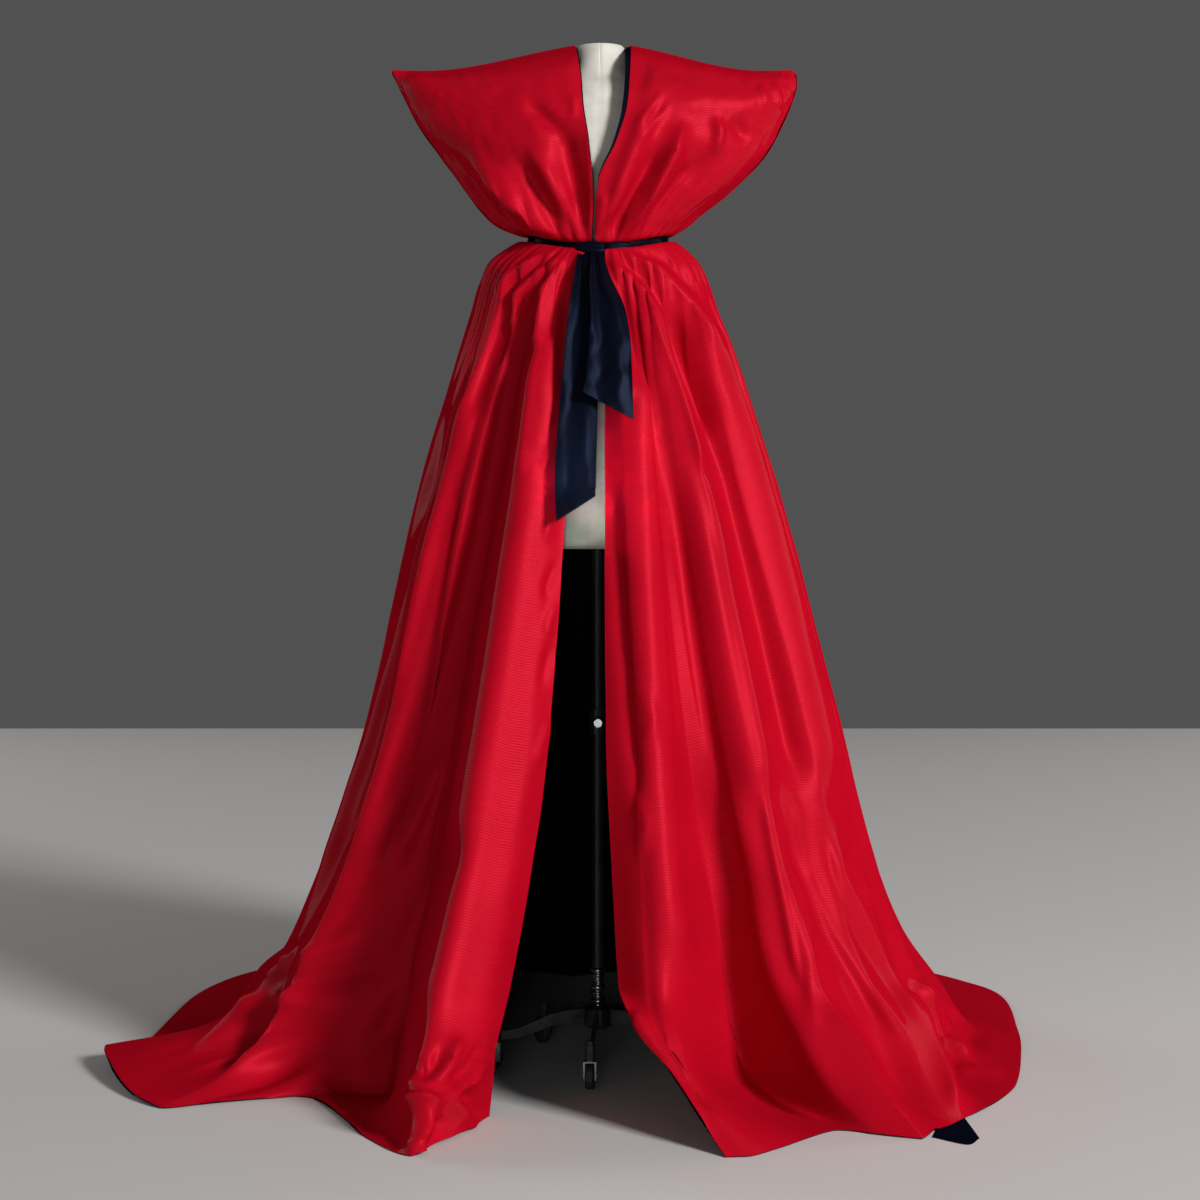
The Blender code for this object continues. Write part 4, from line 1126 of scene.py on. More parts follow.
    def creases(self, grid: np.ndarray, normals: np.ndarray, down: np.ndarray) -> np.ndarray:
        """Heights of the listed creases and of the cloth's own unevenness.

        Args:
            grid: the smooth skirt.
            normals: its normals.
            down: share of the way down of each row.

        Returns:
            Heights along the normals.
        """
        folds, size = self.folds(), grid.shape[:2]
        column = self.places(folds)[:, None]
        down = down[None, :]
        left_end, right_start = len(LEFT_FOLDS) - 1.0, float(len(folds) - len(RIGHT_FOLDS))
        left = 1 - ease(column, left_end, left_end + 0.8)
        right = ease(column, right_start - 0.8, right_start)
        made = crease_heights(grid, normals, LEFT_CREASES) * left
        made += crease_heights(grid, normals, RIGHT_CREASES) * right
        fan = wavering(2 * np.pi * 0.9 * column, 1.3, size, (9, 4), SEED + 2)
        fan += 0.5 * wavering(2 * np.pi * 1.9 * column, 1.7, size, (12, 5), SEED + 3)
        hang = between(down, (0.03, 0.2), (0.62, 0.75))
        made += (1 - np.maximum(left, right)) * self.fan_height * fan * hang
        behind = between(column, (7.5, 10.5), (len(folds) - 7.5, len(folds) - 4.5))
        lying = (1 - ease(grid[..., 2], 0.006, 0.06)) * ease(down, 0.6, 0.75) * behind
        ripples = np.maximum(hills(size, (44, 4), SEED + 4), 0) ** 1.2
        ripples += 0.6 * np.maximum(hills(size, (22, 9), SEED + 7), 0)
        made += self.ripple_height * ripples * lying * (1 - 0.45 * ease(down, 0.93, 1.0))
        made += self.crumple_height * hills(size, (60, 30), SEED + 5)
        return made * ease(down, 0.022, 0.034)  # the rim at the waist stays smooth

    def build(self, finishes: Finishes) -> None:
        """Four panels and their linings.

        Args:
            finishes: the object's finishes.
        """
        smooth, down = self.surface()
        facing = surface_normals(smooth)
        heights = self.creases(smooth, facing, down)
        grid = smooth + facing * heights[..., None]
        grid[..., 2] = np.maximum(grid[..., 2], self.bed)
        normals = level_rim(surface_normals(grid), self.rim_rows)
        depth = self.lining_gap * (1 - self.hem_thinner * ease(down, 0.97, 1.0))
        under = smooth + facing * (lowest_nearby(heights, 2) - depth[None, :])[..., None]
        for name, (start, end) in self.panels().items():
            span = slice(start, end + 1)
            part = grid[span].copy()
            part[0] += unit(part[1] - part[0]) * (self.seam_gap / 2 if start else 0.0)
            part[-1] += unit(part[-2] - part[-1]) * (self.seam_gap / 2 if end < len(grid) - 1 else 0.0)
            shell = add_cloth("taffeta_skirt_" + name, part, 0.0, self.cloth, finishes.taffeta,
                              normals[span])
            inside = under[span][every_other(len(part))][:, every_other(self.rows)]
            turned = facing[span][every_other(len(part))][:, every_other(self.rows)]
            lining = add_cloth("satin_lining_skirt_" + name, inside, -self.cloth, 0.0, finishes.satin,
                               turned)
            for piece, node, slot, cut in ((shell, "skirt_" + name, "red_taffeta", part),
                                           (lining, "lining_skirt_" + name, "navy_satin", inside)):
                stand_for(piece, node)

    def panels(self) -> dict[str, tuple[int, int]]:
        """First and last column of each panel between the seams."""
        folds = self.folds()
        starts = self.starts(folds)
        left, right = starts[len(LEFT_FOLDS) - 2], starts[len(folds) - len(RIGHT_FOLDS) + 1]
        middle = starts[len(LEFT_FOLDS) + self.back_folds // 2]
        return {"front_left": (0, left), "back_left": (left, middle),
                "back_right": (middle, right), "front_right": (right, starts[-1])}


# ---------------------------------------------------------------- the bodice


WINGS = {
    Side.LEFT: (
        # the long ridge to the sash, the hollow above it and the one beside the V edge
        soft(17, 20, 0.35, "462,150 498,186 535,218 570,244"),
        sharp(10, 10, 0.35, "480,172 520,206 550,230 573,246"),
        soft(-16, 17, 0.35, "512,150 532,182 552,212 571,238"),
        soft(-18, 20, 0.3, "556,110 566,150 575,195 583,240"),
        soft(13, 16, 0.35, "526,140 545,172 562,205 577,242"),
        soft(-11, 13, 0.4, "520,98 541,114 566,136"),
        soft(-12, 22, 0.3, "425,135 462,180 500,216 535,238"),
        sharp(6, 8, 0.2, "586,120 590,160 592,195 588,240"),
        soft(3, 6, 0.3, "573,92 574,108 572,122"),
        # the upper edge rolls back above a broad bright band
        soft(7, 24, 0.1, "400,84 440,90 490,86 545,78 585,76"),
    ),
    Side.RIGHT: (
        soft(20, 18, 0.3, "690,118 672,156 648,200 614,244"),
        sharp(8, 8, 0.25, "689,114 670,155 646,198 612,245"),
        soft(-19, 16, 0.3, "664,138 648,172 628,208 602,246"),
        soft(13, 15, 0.25, "652,96 638,138 620,185 600,238"),
        soft(-18, 22, 0.35, "712,140 694,172 664,206 630,238"),
        soft(10, 9, 0.4, "717,112 719,134 714,160"),
        soft(-9, 13, 0.4, "730,116 740,130 748,146"),
        soft(3.5, 7, 0.3, "757,84 762,98 764,112"),
        soft(3.5, 7, 0.3, "770,84 776,97 777,112"),
        soft(3, 7, 0.3, "783,84 787,95 785,106"),
        soft(10, 20, 0.3, "762,136 725,176 680,210 636,238"),
        soft(4, 6, 0.3, "664,92 648,112 634,132"),
        soft(4, 6, 0.3, "672,102 654,124 636,148"),
        sharp(6, 9, 0.25, "604,190 600,215 596,240"),
        soft(9, 26, 0.1, "640,80 690,98 740,102 788,100"),
    ),
}


@dataclass
class Bodice:
    """The winged upper part: two fronts and a back, each with its satin lining."""

    up: Levels = (0.00, 0.05, 0.08, 0.12, 0.22, 0.36, 0.52, 0.68, 0.82, 0.92, 1.00)
    side: Levels = mm(1396, 1405.2, 1405.2, 1414, 1440, 1480, 1540, 1595, 1638, 1666, 1688)
    left: Levels = mm(108.5, 108.5, 122.5, 150, 188, 222, 267, 308, 330, 343, 350)
    right: Levels = mm(108.5, 108.5, 121.5, 137, 168, 222, 282, 314, 332, 339, 330)
    v_height: Levels = mm(1376, 1385, 1388, 1401, 1440, 1486, 1550, 1610, 1660, 1703, 1729)
    v_left: Levels = mm(-13, -12, -10.8, -9.5, -8.5, -9.5, -16, -25.5, -29, -34.5, -39)
    v_right: Levels = mm(-6, -6, -5.3, -4.5, -3.5, 2, 31, 48.5, 53, 55, 56)
    front: Levels = mm(87.5, 87.5, 101, 109, 126, 138, 140, 126, 98, 62, 0)
    back: Levels = mm(87.5, 87.5, 101, 107, 120, 128, 128, 118, 96, 64, 0)
    slit: Levels = (0, 0, 0, 0, 0, 0, 4, 8, 8, 8, 0)
    # the shoulder line's sag: how deep, where along it, and how near the top it is felt
    sag: float = 0.013
    sag_place: float = 1.5
    sag_top: int = 4
    back_flare: float = 0.004
    back_rise: float = 0.018
    band_top: float = 0.10
    neck_middle: float = 0.004
    neck_round: float = 0.0500
    neck_top: int = 8
    seam_fade: tuple[float, float] = (0.06, 0.14)
    v_show: tuple[float, float] = (0.002, 0.008)
    crowding: float = 1.4
    gather: float = 0.0040
    gather_top: float = 0.45
    front_gathers: int = 9
    back_gathers: int = 16
    columns: int = 100
    rows: int = 100
    rim_rows: int = 4
    cloth: float = 0.0008
    lining_gap: float = 0.0016
    least_show: float = 0.001
    crumple_height: float = 0.0008
    fan_height: float = 0.0045

    def levels(self) -> dict[str, np.ndarray]:
        """Every named size at each fine row, from curves through the table's rows."""
        knots = np.array(self.up)
        at = np.sort(np.r_[np.linspace(0, 1, self.rows - 1), self.band_top * 0.5])
        names = ("side", "left", "right", "v_height", "v_left", "v_right", "front", "back", "slit")
        made = {name: through(np.array(getattr(self, name), float), knots, at) for name in names}
        made["up"] = at
        return made

    def sagging(self, rise: np.ndarray, up: np.ndarray) -> np.ndarray:
        """How far the cloth hangs below the straight line between the neck and the side."""
        return self.sag * np.sin(np.pi * rise**self.sag_place) * up**self.sag_top

    def gathered(self, grid: np.ndarray, up: np.ndarray, count: int, seed: int) -> np.ndarray:
        """Push the cloth out in uneven gathers that fade up from the waist.

        Args:
            grid: the cloth.
            up: share of the way up of each row.
            count: how many gathers across it.
            seed: which unevenness.

        Returns:
            The gathered grid.
        """
        size, place = grid.shape[:2], np.linspace(0, 1, len(grid))[:, None]
        wave = 0.5 + 0.5 * wavering(2 * np.pi * count * place, 1.6, size, (9, 3), seed)
        wave *= 0.8 + 0.2 * hills(size, (17, 3), seed + 1)
        depth = self.gather * np.clip((self.gather_top - up) / (self.gather_top - 0.12), 0, 1)
        return grid + unit(grid * np.array([1.0, 1.0, 0.0])) * (wave * depth[None, :])[..., None]

    def front_grid(self, side: Side, skirt: Skirt) -> np.ndarray:
        """One front, from its V edge round to its side and up from the waist to the shoulder line.

        Each row is a quarter of an ellipse that starts at the V edge, with the height going
        straight from the V edge's to the side's, less a sag.

        Args:
            side: which front.
            skirt: the skirt, for the dip of the waist seam.

        Returns:
            The grid, its columns running towards +X.
        """
        level = self.levels()
        up, high, slit = level["up"], level["side"], level["slit"]
        out = -level["left"] if side is Side.LEFT else level["right"]
        edge = level["v_left"] if side is Side.LEFT else level["v_right"]
        share = np.linspace(0, 1, self.columns)[:, None]
        start = np.arcsin(edge / out)[None, :]
        turn = start + share * (np.radians(90 - slit)[None, :] - start)
        x, y = out * np.sin(turn), -level["front"] * np.cos(turn)
        rise = np.clip(np.abs(x - edge) / np.abs(out - edge), 0, 1)
        z = level["v_height"] + (high - level["v_height"]) * rise
        z = z - self.sagging(rise, up)
        banded = skirt.waist_height(np.degrees(turn)) + high - skirt.waist
        share_up = ease(up, *self.seam_fade)[None, :]
        z = banded * (1 - share_up) + z * share_up
        grid = self.gathered(np.stack([x, y, z], -1), up, self.front_gathers, SEED + 20)
        return grid[::-1] if side is Side.LEFT else grid

    def back_grid(self) -> np.ndarray:
        """The back, from the right side round to the left side, with a round neck."""
        level = self.levels()
        up, high, slit = level["up"], level["side"], level["slit"]
        share = np.linspace(-1, 1, 2 * self.columns - 1)[:, None]
        turn = np.sign(share) * np.abs(share) ** self.crowding * np.radians(90 - slit)[None, :]
        half = np.where(share < 0, level["left"], level["right"]) + self.back_flare * ease(slit, 0.0, 4.0)
        x = half * np.sin(turn)
        neck = np.sqrt(np.maximum(self.neck_round**2 - (x - self.neck_middle) ** 2, 0))
        neck = neck * up**self.neck_top
        y = np.maximum(level["back"] * np.cos(turn), neck)
        low_edge = np.where(share < 0, -level["v_left"], level["v_right"])
        rise = np.clip((np.abs(x) - low_edge) / (half - low_edge), 0, 1)
        centre = np.where(up < self.band_top, high, level["v_height"] + self.back_rise * (1 - up))
        share_up = ease(up, *self.seam_fade)
        centre = high * (1 - share_up) + centre * share_up
        z = centre + (high - centre) * rise
        z = z - self.sagging(rise, up)
        return self.gathered(np.stack([x, y, z], -1), up, self.back_gathers, SEED + 30)[::-1]

    def add_pair(self, name: str, node: str, smooth: np.ndarray, heights: np.ndarray, show: float,
                 v_first: bool, finishes: Finishes) -> None:
        """The taffeta and the satin of one panel.

        Args:
            name: the panel's name.
            node: the CAD name of its lining.
            smooth: its smooth surface.
            heights: heights of its creases.
            show: how far the lining stands past the V edge.
            v_first: whether the V edge is the first column.
            finishes: the object's finishes.
        """
        facing = level_rim(surface_normals(smooth), self.rim_rows)
        grid = smooth + facing * heights[..., None]
        normals = level_rim(surface_normals(grid), self.rim_rows)
        shell = add_cloth("taffeta_" + name, grid, 0.0, self.cloth, finishes.taffeta, normals)
        inside = smooth + facing * (lowest_nearby(heights, 2) - self.lining_gap)[..., None]
        columns, rows = every_other(len(inside)), every_other(self.rows)[:-1]
        inside, turned = inside[columns][:, rows], facing[columns][:, rows]
        if show:
            edge = 0 if v_first else -1
            level = self.levels()["up"][rows]
            reach = self.least_show + (show - self.least_show) * np.clip(level * 3 - 1, 0, 1)
            outward = unit(inside[edge] - inside[1 if v_first else -2])
            rim = grid[edge][rows] - turned[edge] * (0.0004 + self.cloth)
            inside[edge] = rim
            place = 0 if v_first else len(inside)
            inside = np.insert(inside, place, (rim + outward * reach[:, None])[None], axis=0)
            turned = np.insert(turned, place, turned[edge][None], axis=0)
        lining = add_cloth("satin_" + node, inside, -self.cloth, 0.0, finishes.satin, turned)
        for piece, stood, slot, cut in ((shell, name, "red_taffeta", grid),
                                        (lining, node, "navy_satin", inside)):
            stand_for(piece, stood)

    def build(self, finishes: Finishes, skirt: Skirt) -> None:
        """Two fronts, the back and their linings."""
        up = self.levels()["up"][None, :]
        for side, show in zip(Side, self.v_show):
            grid = self.front_grid(side, skirt)
            heights = crease_heights(grid, surface_normals(grid), WINGS[side])
            heights += self.crumple_height * hills(grid.shape[:2], (22, 20), SEED + 40)
            heights *= between(up, (0.05, 0.13), (0.97, 1.0))
            self.add_pair("bodice_front_" + side.value, "lining_front_" + side.value, grid, heights,
                          show, side is Side.RIGHT, finishes)
        grid = self.back_grid()
        size, place = grid.shape[:2], np.linspace(-1, 1, len(grid))[:, None]
        fan = wavering(15 * place, 1.4, size, (7, 3), SEED + 50) * (1 - 0.5 * up)
        fan += 0.6 * wavering(37 * place, 2.0, size, (9, 4), SEED + 51) * (1 - up)
        heights = self.fan_height * fan * between(up, (0.08, 0.2), (0.95, 1.0))
        self.add_pair("bodice_back", "lining_back", grid, heights, 0.0, True, finishes)


# ---------------------------------------------------------------- turned-out lining


@dataclass
class TurnedCorners:
    """The corner of lining that shows beyond the hem at the right, and a navy sheet at the left that is
    partly the real lining and partly painted shade under the lifted hem.
    """

    thick: float = 0.0006
    inner: tuple[tuple[float, float], ...] = ((0.512, -0.456), (0.545, -0.418), (0.568, -0.384))
    outer: tuple[tuple[float, float], ...] = ((0.502, -0.492), (0.549, -0.534), (0.572, -0.498))
    grid_size: tuple[int, int] = (25, 21)
    tuck: float = 0.020
    lift: float = 0.0040
    # the navy sheet of painted shade under the lifted left hem: how far below the hem it starts, and its
    # rows
    shade_sheet_drop: float = 0.0022
    shade_sheet_rows: int = 12

    def add(self, name: str, node: str, grid: np.ndarray, finishes: Finishes) -> None:
        """One corner, or the navy sheet of painted shade under the lifted hem.

        Args:
            name: the piece's name.
            node: the CAD node that it stands for.
            grid: its surface.
            finishes: the object's finishes.
        """
        piece = add_cloth(name, grid, 0.0, self.thick, finishes.satin)
        stand_for(piece, node)

    def build(self, finishes: Finishes, skirt: Skirt) -> None:
        """The right corner on the floor, and at the left a navy sheet hung from the lifted hem down to the
        floor, partly the real lining and partly painted shade for the dark under the raised hem.
        """
        u = np.linspace(0, 1, self.grid_size[0])[:, None]
        v = np.linspace(0, 1, self.grid_size[1])[None, :]
        knots = np.linspace(0, 1, len(self.inner))
        start, end = (through(np.array(line).T, knots, u[:, 0]).T[:, None]
                      for line in (self.inner, self.outer))
        start = start - unit(end - start) * self.tuck
        flat = end + (start - end) * v[..., None]
        rise = 0.3 + np.maximum(hills(self.grid_size, (4, 3), SEED + 60), 0)
        height = FLOOR_GAP * 2 + self.lift * rise * np.sin(np.pi * v) ** 2 * np.sin(np.pi * u) * (v < 0.5)
        corner = np.concatenate([flat, height[..., None]], -1)
        self.add("satin_corner_right", "lining_corner_right", corner, finishes)
        folds = skirt.folds()
        names = [fold.name for fold in folds]
        first, last = names.index("crease"), names.index("side seam")
        starts = skirt.starts(folds)
        hem = skirt.across(skirt.net(folds), folds)[starts[first] : starts[last] + 1, -1]
        # painted shade: the lining hangs from just under the lifted hem straight down to the floor, filling
        # the dark under the raised edge with navy cloth
        top = hem - np.array([0.0, 0.0, self.shade_sheet_drop])
        floor = np.stack([hem[:, 0] * 0.985, hem[:, 1], np.full(len(hem), self.thick)], -1)
        share = np.linspace(0, 1, self.shade_sheet_rows)[None, :, None]
        shade_sheet = top[:, None] * (1 - share) + floor[:, None] * share
        self.add("satin_shade_sheet_left", "lining_corner_left", shade_sheet, finishes)


# ---------------------------------------------------------------- the sash


@dataclass
class Sash:
    """The navy sash: a band wound round the waist, a knot with its loop, and two tails."""

    inner_x: float = 0.1085 + 0.00682
    inner_y: float = 0.0875 + 0.00682
    half_height: float = 0.0080
    waist: float = 1.396
    dip: float = 0.022
    # the band: how far it stands out at its edges and in its middle, its pleats and its unevenness
    band_edge: float = 0.0011
    band_swell: float = 0.0030
    band_pleat: float = 0.0009
    band_inside: float = 0.0008
    band_uneven: float = 0.0007
    band_front: float = 0.0044
    layer_gap: float = 0.0003
    band_cut: tuple[float, float] = (0.105, 0.055)
    # the tails: their crumple and the narrow folds under the knot
    tail_crumple: float = 0.0012
    tail_narrow: float = 0.0026
    band_grid: tuple[int, int] = (260, 40)
    bundle_grid: tuple[int, int] = (64, 72)
    tail_grid: tuple[int, int] = (60, 120)
    tail_thick: float = 0.0016

    def band(self, finishes: Finishes) -> None:
        """The band: a closed section with lengthwise pleats, carried round an ellipse."""
        columns, sides = self.band_grid
        turn = np.linspace(0, 2 * np.pi, columns, endpoint=False)[:, None]
        v = np.linspace(0, 1, sides, endpoint=False)[None, :]
        up, out = np.cos(2 * np.pi * v), np.sin(2 * np.pi * v)
        thick = self.band_edge + self.band_swell * np.clip(out, 0, 1) ** 0.5
        pleat = self.band_pleat * np.cos(9.0 * up + 1.3 * np.sin(3 * turn) + 0.8 * np.cos(7 * turn))
        pleat = pleat * np.clip(out, 0, 1)
        reach = np.where(out > 0, thick + pleat, self.band_inside * (1 - np.abs(up)))
        height = self.waist - self.dip * np.maximum(np.cos(turn), 0) ** 2 + up * self.half_height
        height = height + self.band_uneven * np.sin(5 * turn + 1.0) * up
        x, y = -(self.inner_x + reach) * np.sin(turn), -(self.inner_y + reach) * np.cos(turn)
        grid = np.stack([x, y, height], -1)
        lay = np.stack([turn * self.band_cut[0] + 0 * v, v * self.band_cut[1] + 0 * turn], -1)
        faces = grid_quads(columns, sides, loop=True, tube=True).tolist()
        piece = add_mesh("satin_sash_band", grid.reshape(-1, 3) + AXIS, faces, finishes.satin,
                         lay.reshape(-1, 2))
        stand_for(piece, "sash_band")

    def bundle(self, name: str, node: str, middle: Point, half: Point,
               pleats: int, depth: float, twist: float, finishes: Finishes) -> None:
        """A rounded bundle of cloth: an egg stretched across, with pleats that run along it.

        Args:
            name: the piece's name.
            node: the CAD node that it stands for.
            middle: its centre round the form's axis, before it is curved round the waist.
            half: its half-sizes.
            pleats: how many pleats go round it.
            depth: their depth as a share of its size.
            twist: turns of the pleats from end to end.
            finishes: the object's finishes.
        """
        columns, sides = self.bundle_grid
        lean = (np.linspace(0.004, 0.996, columns) - 0.5)[:, None] * np.pi
        turn = np.linspace(0, 2 * np.pi, sides, endpoint=False)[None, :]
        wide = np.cos(lean) ** 0.6
        swell = 1 - depth * (0.5 + 0.5 * np.cos(pleats * turn + twist * lean)) * wide
        x = middle[0] + half[0] * np.sin(lean) + 0 * turn
        bend = self.inner_y * (1 - np.sqrt(1 - (x / self.inner_x) ** 2))
        y = middle[1] - half[1] * wide * np.cos(turn) * swell + bend
        z = middle[2] + half[2] * wide * np.sin(turn) * swell
        faces = grid_quads(columns, sides, tube=True)[:, ::-1].tolist()
        faces += [list(range(sides)), list(reversed(range((columns - 1) * sides, columns * sides)))]
        lay = np.stack([x, turn * half[2] + 0 * lean], -1).reshape(-1, 2)
        piece = add_mesh(name, np.stack([x, y, z], -1).reshape(-1, 3) + AXIS, faces, finishes.satin, lay)
        stand_for(piece, node)

    def tail(self, name: str, node: str, height: Levels, left: Levels, right: Levels,
             forward: Levels, fold: Levels, slant: tuple[float, float], finishes: Finishes) -> None:
        """One end of the sash: a doubled strip that hangs over the skirt, with folds along it.

        Args:
            name: the piece's name.
            node: the CAD node that it stands for.
            height: height of each level, top first.
            left: left edge at each level.
            right: right edge at each level.
            forward: how far each level stands in front of the form's axis.
            fold: depth of its folds at each level.
            slant: how much higher the bottom's left and right corners are than the last level.
            finishes: the object's finishes.
        """
        columns, rows = self.tail_grid
        knots = np.linspace(0, 1, len(height))
        at = np.linspace(0, 1, rows)
        table = {key: through(np.array(value), knots, at) for key, value in
                 {"z": height, "l": left, "r": right, "f": forward, "d": fold}.items()}
        share = np.linspace(0, 1, columns)[:, None]
        x = table["l"] + (table["r"] - table["l"]) * share
        wander = 0.6 * hills(self.tail_grid, (3, 6), SEED + 70)
        y = -table["f"] - table["d"] * (0.5 + 0.5 * np.cos(3 * np.pi * share + wander))
        y = y - self.tail_crumple * hills(self.tail_grid, (6, 14), SEED + 71) * ease(at, 0.05, 0.2)
        narrow = 0.5 + 0.5 * np.cos(9 * np.pi * share + 2 * wander)
        y = y - self.tail_narrow * narrow * (1 - ease(at, 0.08, 0.5))
        z = table["z"] + ease(at, 0.86, 1.0) * (slant[0] * (1 - share) + slant[1] * share)
        grid = np.stack([x, y, z], -1)[:, ::-1]
        piece = add_cloth(name, grid, 0.0, self.tail_thick, finishes.satin)
        stand_for(piece, node)

    def build(self, finishes: Finishes) -> None:
        """Band, knot, loop and tails."""
        self.band(finishes)
        front = self.inner_y + self.band_front + self.layer_gap
        height = self.waist - self.dip
        self.bundle("satin_sash_knot", "sash_knot", (-0.0125, -(front + 0.0091), height),
                    mm(25.5, 10.5, 12.2), 6, 0.34, 1.6, finishes)
        self.bundle("satin_sash_loop", "sash_loop", (0.0365, -(front + 0.0040), height + 0.0040),
                    mm(22.5, 4.6, 8.2), 4, 0.26, 0.8, finishes)
        self.tail("satin_sash_tail_long", "sash_tail_long",
                  mm(1365, 1350, 1310, 1250, 1170, 1080, 990, 920),
                  mm(-33, -34.5, -42, -50, -57, -64, -69, -66),
                  mm(-12, -10, -3, 2, 1, -1, -3, -4),
                  mm(106, 124, 148, 176, 199, 224, 248, 266),
                  mm(3, 3.5, 5, 5, 4, 3, 2, 1), mm(3, 43), finishes)
        self.tail("satin_sash_tail_short", "sash_tail_short",
                  mm(1366, 1350, 1315, 1265, 1210, 1165, 1115),
                  mm(-11, -12, -15, -12, -14, -18, -24),
                  mm(8, 11, 24, 45, 53, 55, 57),
                  mm(111, 130, 158, 186, 206, 220, 235),
                  mm(3, 4, 6, 7, 6, 5, 4), mm(15, -29), finishes)


# ---------------------------------------------------------------- the dress form and stand


@dataclass
class DressForm:
    """The limbless torso with its neck, covered in linen with sewn seams."""

    height: Levels = mm(876, 880, 980, 1100, 1200, 1300, 1348, 1425, 1470, 1530, 1590, 1625, 1650, 1668,
                        1690, 1722, 1727)
    across: Levels = mm(150, 155, 163, 163, 150, 118, 104, 104, 117, 140, 146, 132, 98, 62, 46, 42, 38)
    deep: Levels = mm(110, 115, 120, 120, 110, 91, 83, 83, 97, 112, 100, 85, 68, 52, 45, 42, 38)
    seams_deg: Levels = (0, 38, 90, 142, 180, 218, 270, 322)
    seam_depth: float = 0.0009
    seam_width: float = 0.0022
    seam_reach: float = 0.11
    neck_seam: float = 1.668
    neck_seam_depth: float = 0.0010
    neck_seam_width: float = 0.0018
    neck_middle: float = 0.004
    grid_size: tuple[int, int] = (160, 150)

    def build(self, finishes: Finishes) -> None:
        """A turned-like surface through the table's ellipses, with a shallow groove at each seam."""
        sides, rows = self.grid_size
        at = np.sort(np.r_[np.linspace(self.height[0], self.height[-1], rows), self.height])
        across, deep = (through(np.array(reach), np.array(self.height), at)
                        for reach in (self.across, self.deep))
        turn = np.linspace(0, 2 * np.pi, sides, endpoint=False)[:, None]
        gaps = np.angle(np.exp(1j * (turn - np.radians(self.seams_deg))))
        seams = np.exp(-((gaps * self.seam_reach / self.seam_width) ** 2)).sum(1, keepdims=True)
        neck_seam = np.exp(-(((at - self.neck_seam) / self.neck_seam_width) ** 2))
        groove = self.seam_depth * seams + self.neck_seam_depth * neck_seam
        middle = self.neck_middle * ease(at, 1.56, 1.66)
        x = middle + (across - groove) * np.cos(turn)
        y = (deep - groove) * np.sin(turn)
        piece = add_turned("linen_form", np.stack([x, y, at + 0 * x], -1), finishes.linen, 50.0)
        stand_for(piece, "form_torso")


def numbered(name: str) -> tuple[str, ...]:
    """The names of five like nodes, one for each caster."""
    return tuple(f"{name}_{number}" for number in range(1, 6))


@dataclass
class Stand:
    """Pole, collar, spindle, hub, legs and casters, which keep their CAD shapes."""

    enamelled: tuple[str, ...] = ("pole", "height_collar", "hub")
    straps: tuple[str, ...] = numbered("leg")
    bright: tuple[str, ...] = ("height_knob", *numbered("caster_fork"))
    wheels: tuple[str, ...] = numbered("wheel")
    spindle_grid: tuple[int, int] = (48, 160)
    spindle_heights: tuple[float, float] = (0.0983, 0.163)
    core: float = 0.0082
    beads: tuple[Point, ...] = (
        (0.1003, 0.0105, 0.0022), (0.1070, 0.0132, 0.0042), (0.1142, 0.0098, 0.0020),
        (0.1203, 0.0138, 0.0026), (0.1295, 0.0120, 0.0050), (0.1375, 0.0100, 0.0020),
        (0.1425, 0.0094, 0.0020), (0.1500, 0.0112, 0.0030),
        (0.1590, 0.0134, 0.0042))

    def turn_spindle(self, finishes: Finishes) -> None:
        """The spindle's beads: each swells from the core by the height of a half ellipse.

        Args:
            finishes: the object's finishes.
        """
        sides, rows = self.spindle_grid
        height = np.linspace(*self.spindle_heights, rows)
        radius = np.full(rows, self.core)
        for middle, reach, half in self.beads:
            swell = np.sqrt(np.maximum(1 - ((height - middle) / half) ** 2, 0))
            radius = np.maximum(radius, self.core + (reach - self.core) * swell)
        turn = np.linspace(0, 2 * np.pi, sides, endpoint=False)[:, None]
        grid = np.stack([radius * np.cos(turn), radius * np.sin(turn), height + 0 * turn], -1)
        stand_for(add_turned("spindle_turned", grid, finishes.steel, 40.0), "spindle")

    def dress(self, finishes: Finishes) -> None:
        """Give each metal and rubber node its finish."""
        self.turn_spindle(finishes)
        for names, finish in ((self.enamelled, finishes.enamel), (self.straps, finishes.strap),
                              (self.bright, finishes.steel), (self.wheels, finishes.rubber)):
            for name in names:
                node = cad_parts[name]
                for number in range(max(len(node.material_slots), 1)):
                    if not node.material_slots:
                        node.data.materials.append(finish)
                    else:
                        node.material_slots[number].material = finish
                LOG.info("%s: %s", name, finish.name)


# ---------------------------------------------------------------- floor and light


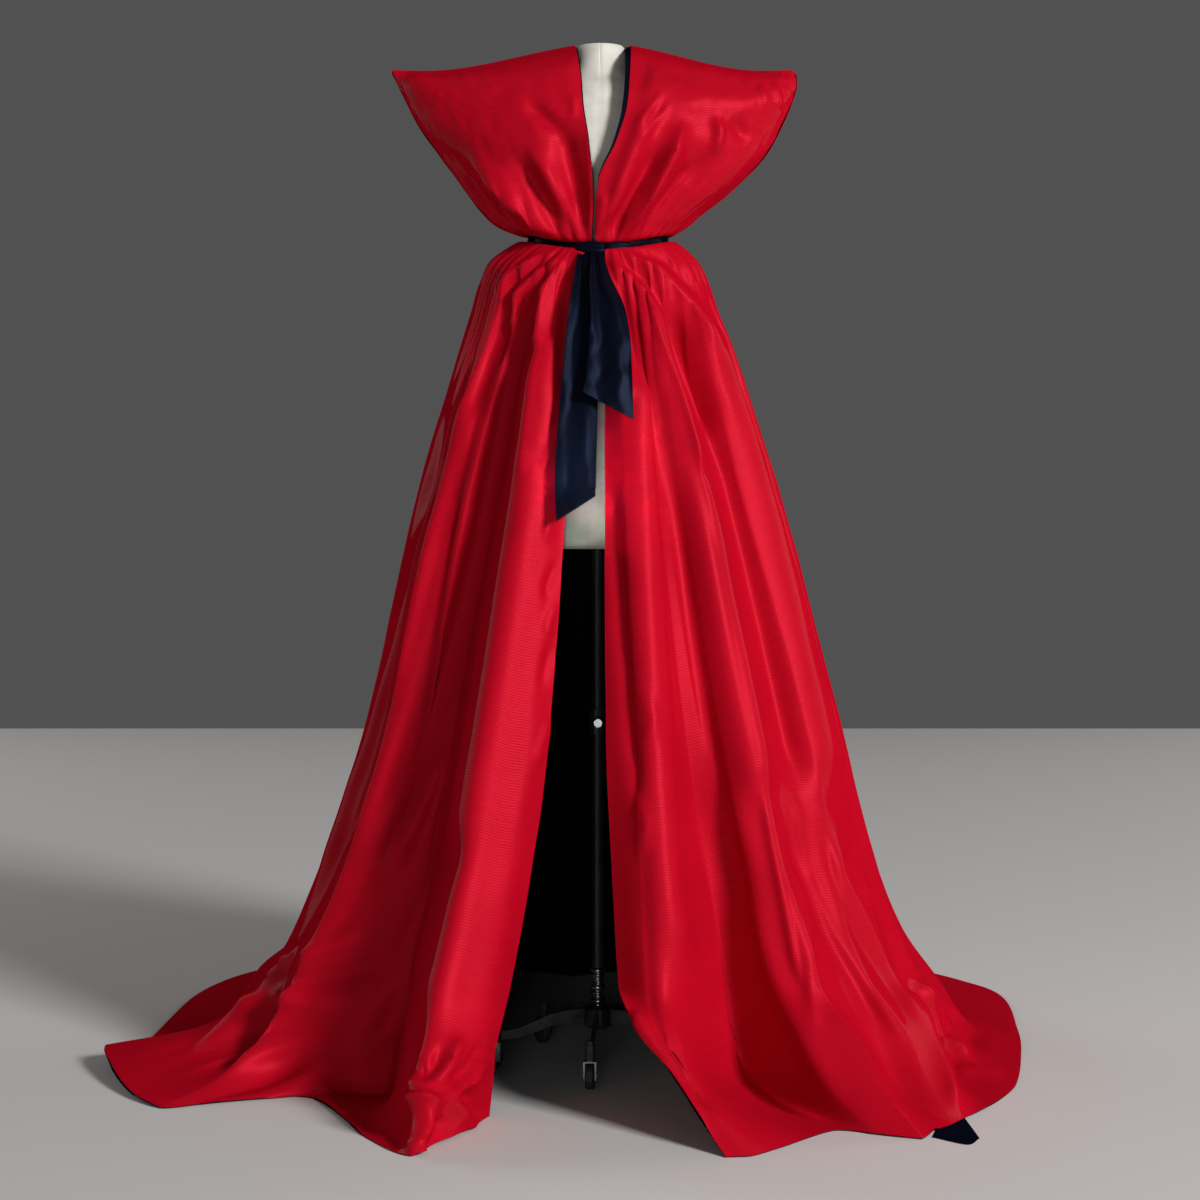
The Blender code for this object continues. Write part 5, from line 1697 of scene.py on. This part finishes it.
@dataclass
class Studio:
    """A plain pale floor and soft light with its key from the front right."""

    floor_half: float = 6.0

    def light(self, name: str, place: Point, aim: Point,
              size: float, power: float, spread: float = 180.0) -> None:
        """One square soft light.

        Args:
            name: its name.
            place: where it stands, round the form's axis.
            aim: the point that it faces.
            size: its side in metres.
            power: its power in watts.
            spread: angle in degrees of the cone that it lights.
        """
        data = bpy.data.lights.new(name, "AREA")
        data.size, data.energy, data.spread = size, power, math.radians(spread)
        made = bpy.data.objects.new(name, data)
        made.location = Vector(place) + Vector(AXIS)
        made.rotation_euler = (Vector(aim) - Vector(place)).to_track_quat("-Z", "Y").to_euler()
        bpy.context.scene.collection.objects.link(made)

    def build(self) -> None:
        """Floor, world and lights."""
        half = self.floor_half
        mesh = bpy.data.meshes.new("floor")
        corners = [(-half, -half, 0), (half, -half, 0), (half, half, 0), (-half, half, 0)]
        mesh.from_pydata(corners, [], [(0, 1, 2, 3)])
        finish, tree = new_material("studio_floor")
        close_tree(tree, {"Base Color": linear("#CFCDCA"), "Roughness": 0.8}, {})
        mesh.materials.append(finish)
        floor = bpy.data.objects.new("floor", mesh)
        bpy.context.scene.collection.objects.link(floor)
        world = bpy.data.worlds.new("studio")
        world.use_nodes = True
        world.node_tree.nodes["Background"].inputs["Color"].default_value = linear("#D8D8DA")
        world.node_tree.nodes["Background"].inputs["Strength"].default_value = 0.12
        bpy.context.scene.world = world
        self.light("key", (6.1, -7.0, 4.4), (0.0, 0.0, 0.7), 2.0, 1070.0)
        self.light("fill", (-4.6, -7.6, 2.6), (0.0, 0.0, 0.8), 3.4, 22.0)
        self.light("front", (-0.5, -6.4, 0.9), (0.0, 0.0, 0.4), 1.0, 38.0)
        self.light("opening", (0.05, -5.0, 1.02), (0.0, 0.0, 0.99), 0.1, 0.10, 3.0)
        self.light("back_left", (-6.4, 4.6, 3.0), (0.0, 0.3, 0.7), 3.4, 130.0)
        self.light("back_right", (6.8, 5.0, 3.0), (0.0, 0.3, 0.7), 3.4, 130.0)
        bpy.context.scene.view_settings.view_transform = "Standard"


def main() -> None:
    """Build and dress every piece."""
    finishes = Finishes()
    VIEWPOINT.build()
    skirt = Skirt()
    skirt.build(finishes)
    Bodice().build(finishes, skirt)
    TurnedCorners().build(finishes, skirt)
    Sash().build(finishes)
    DressForm().build(finishes)
    Stand().dress(finishes)
    Studio().build()


if __name__ == "__main__":
    main()
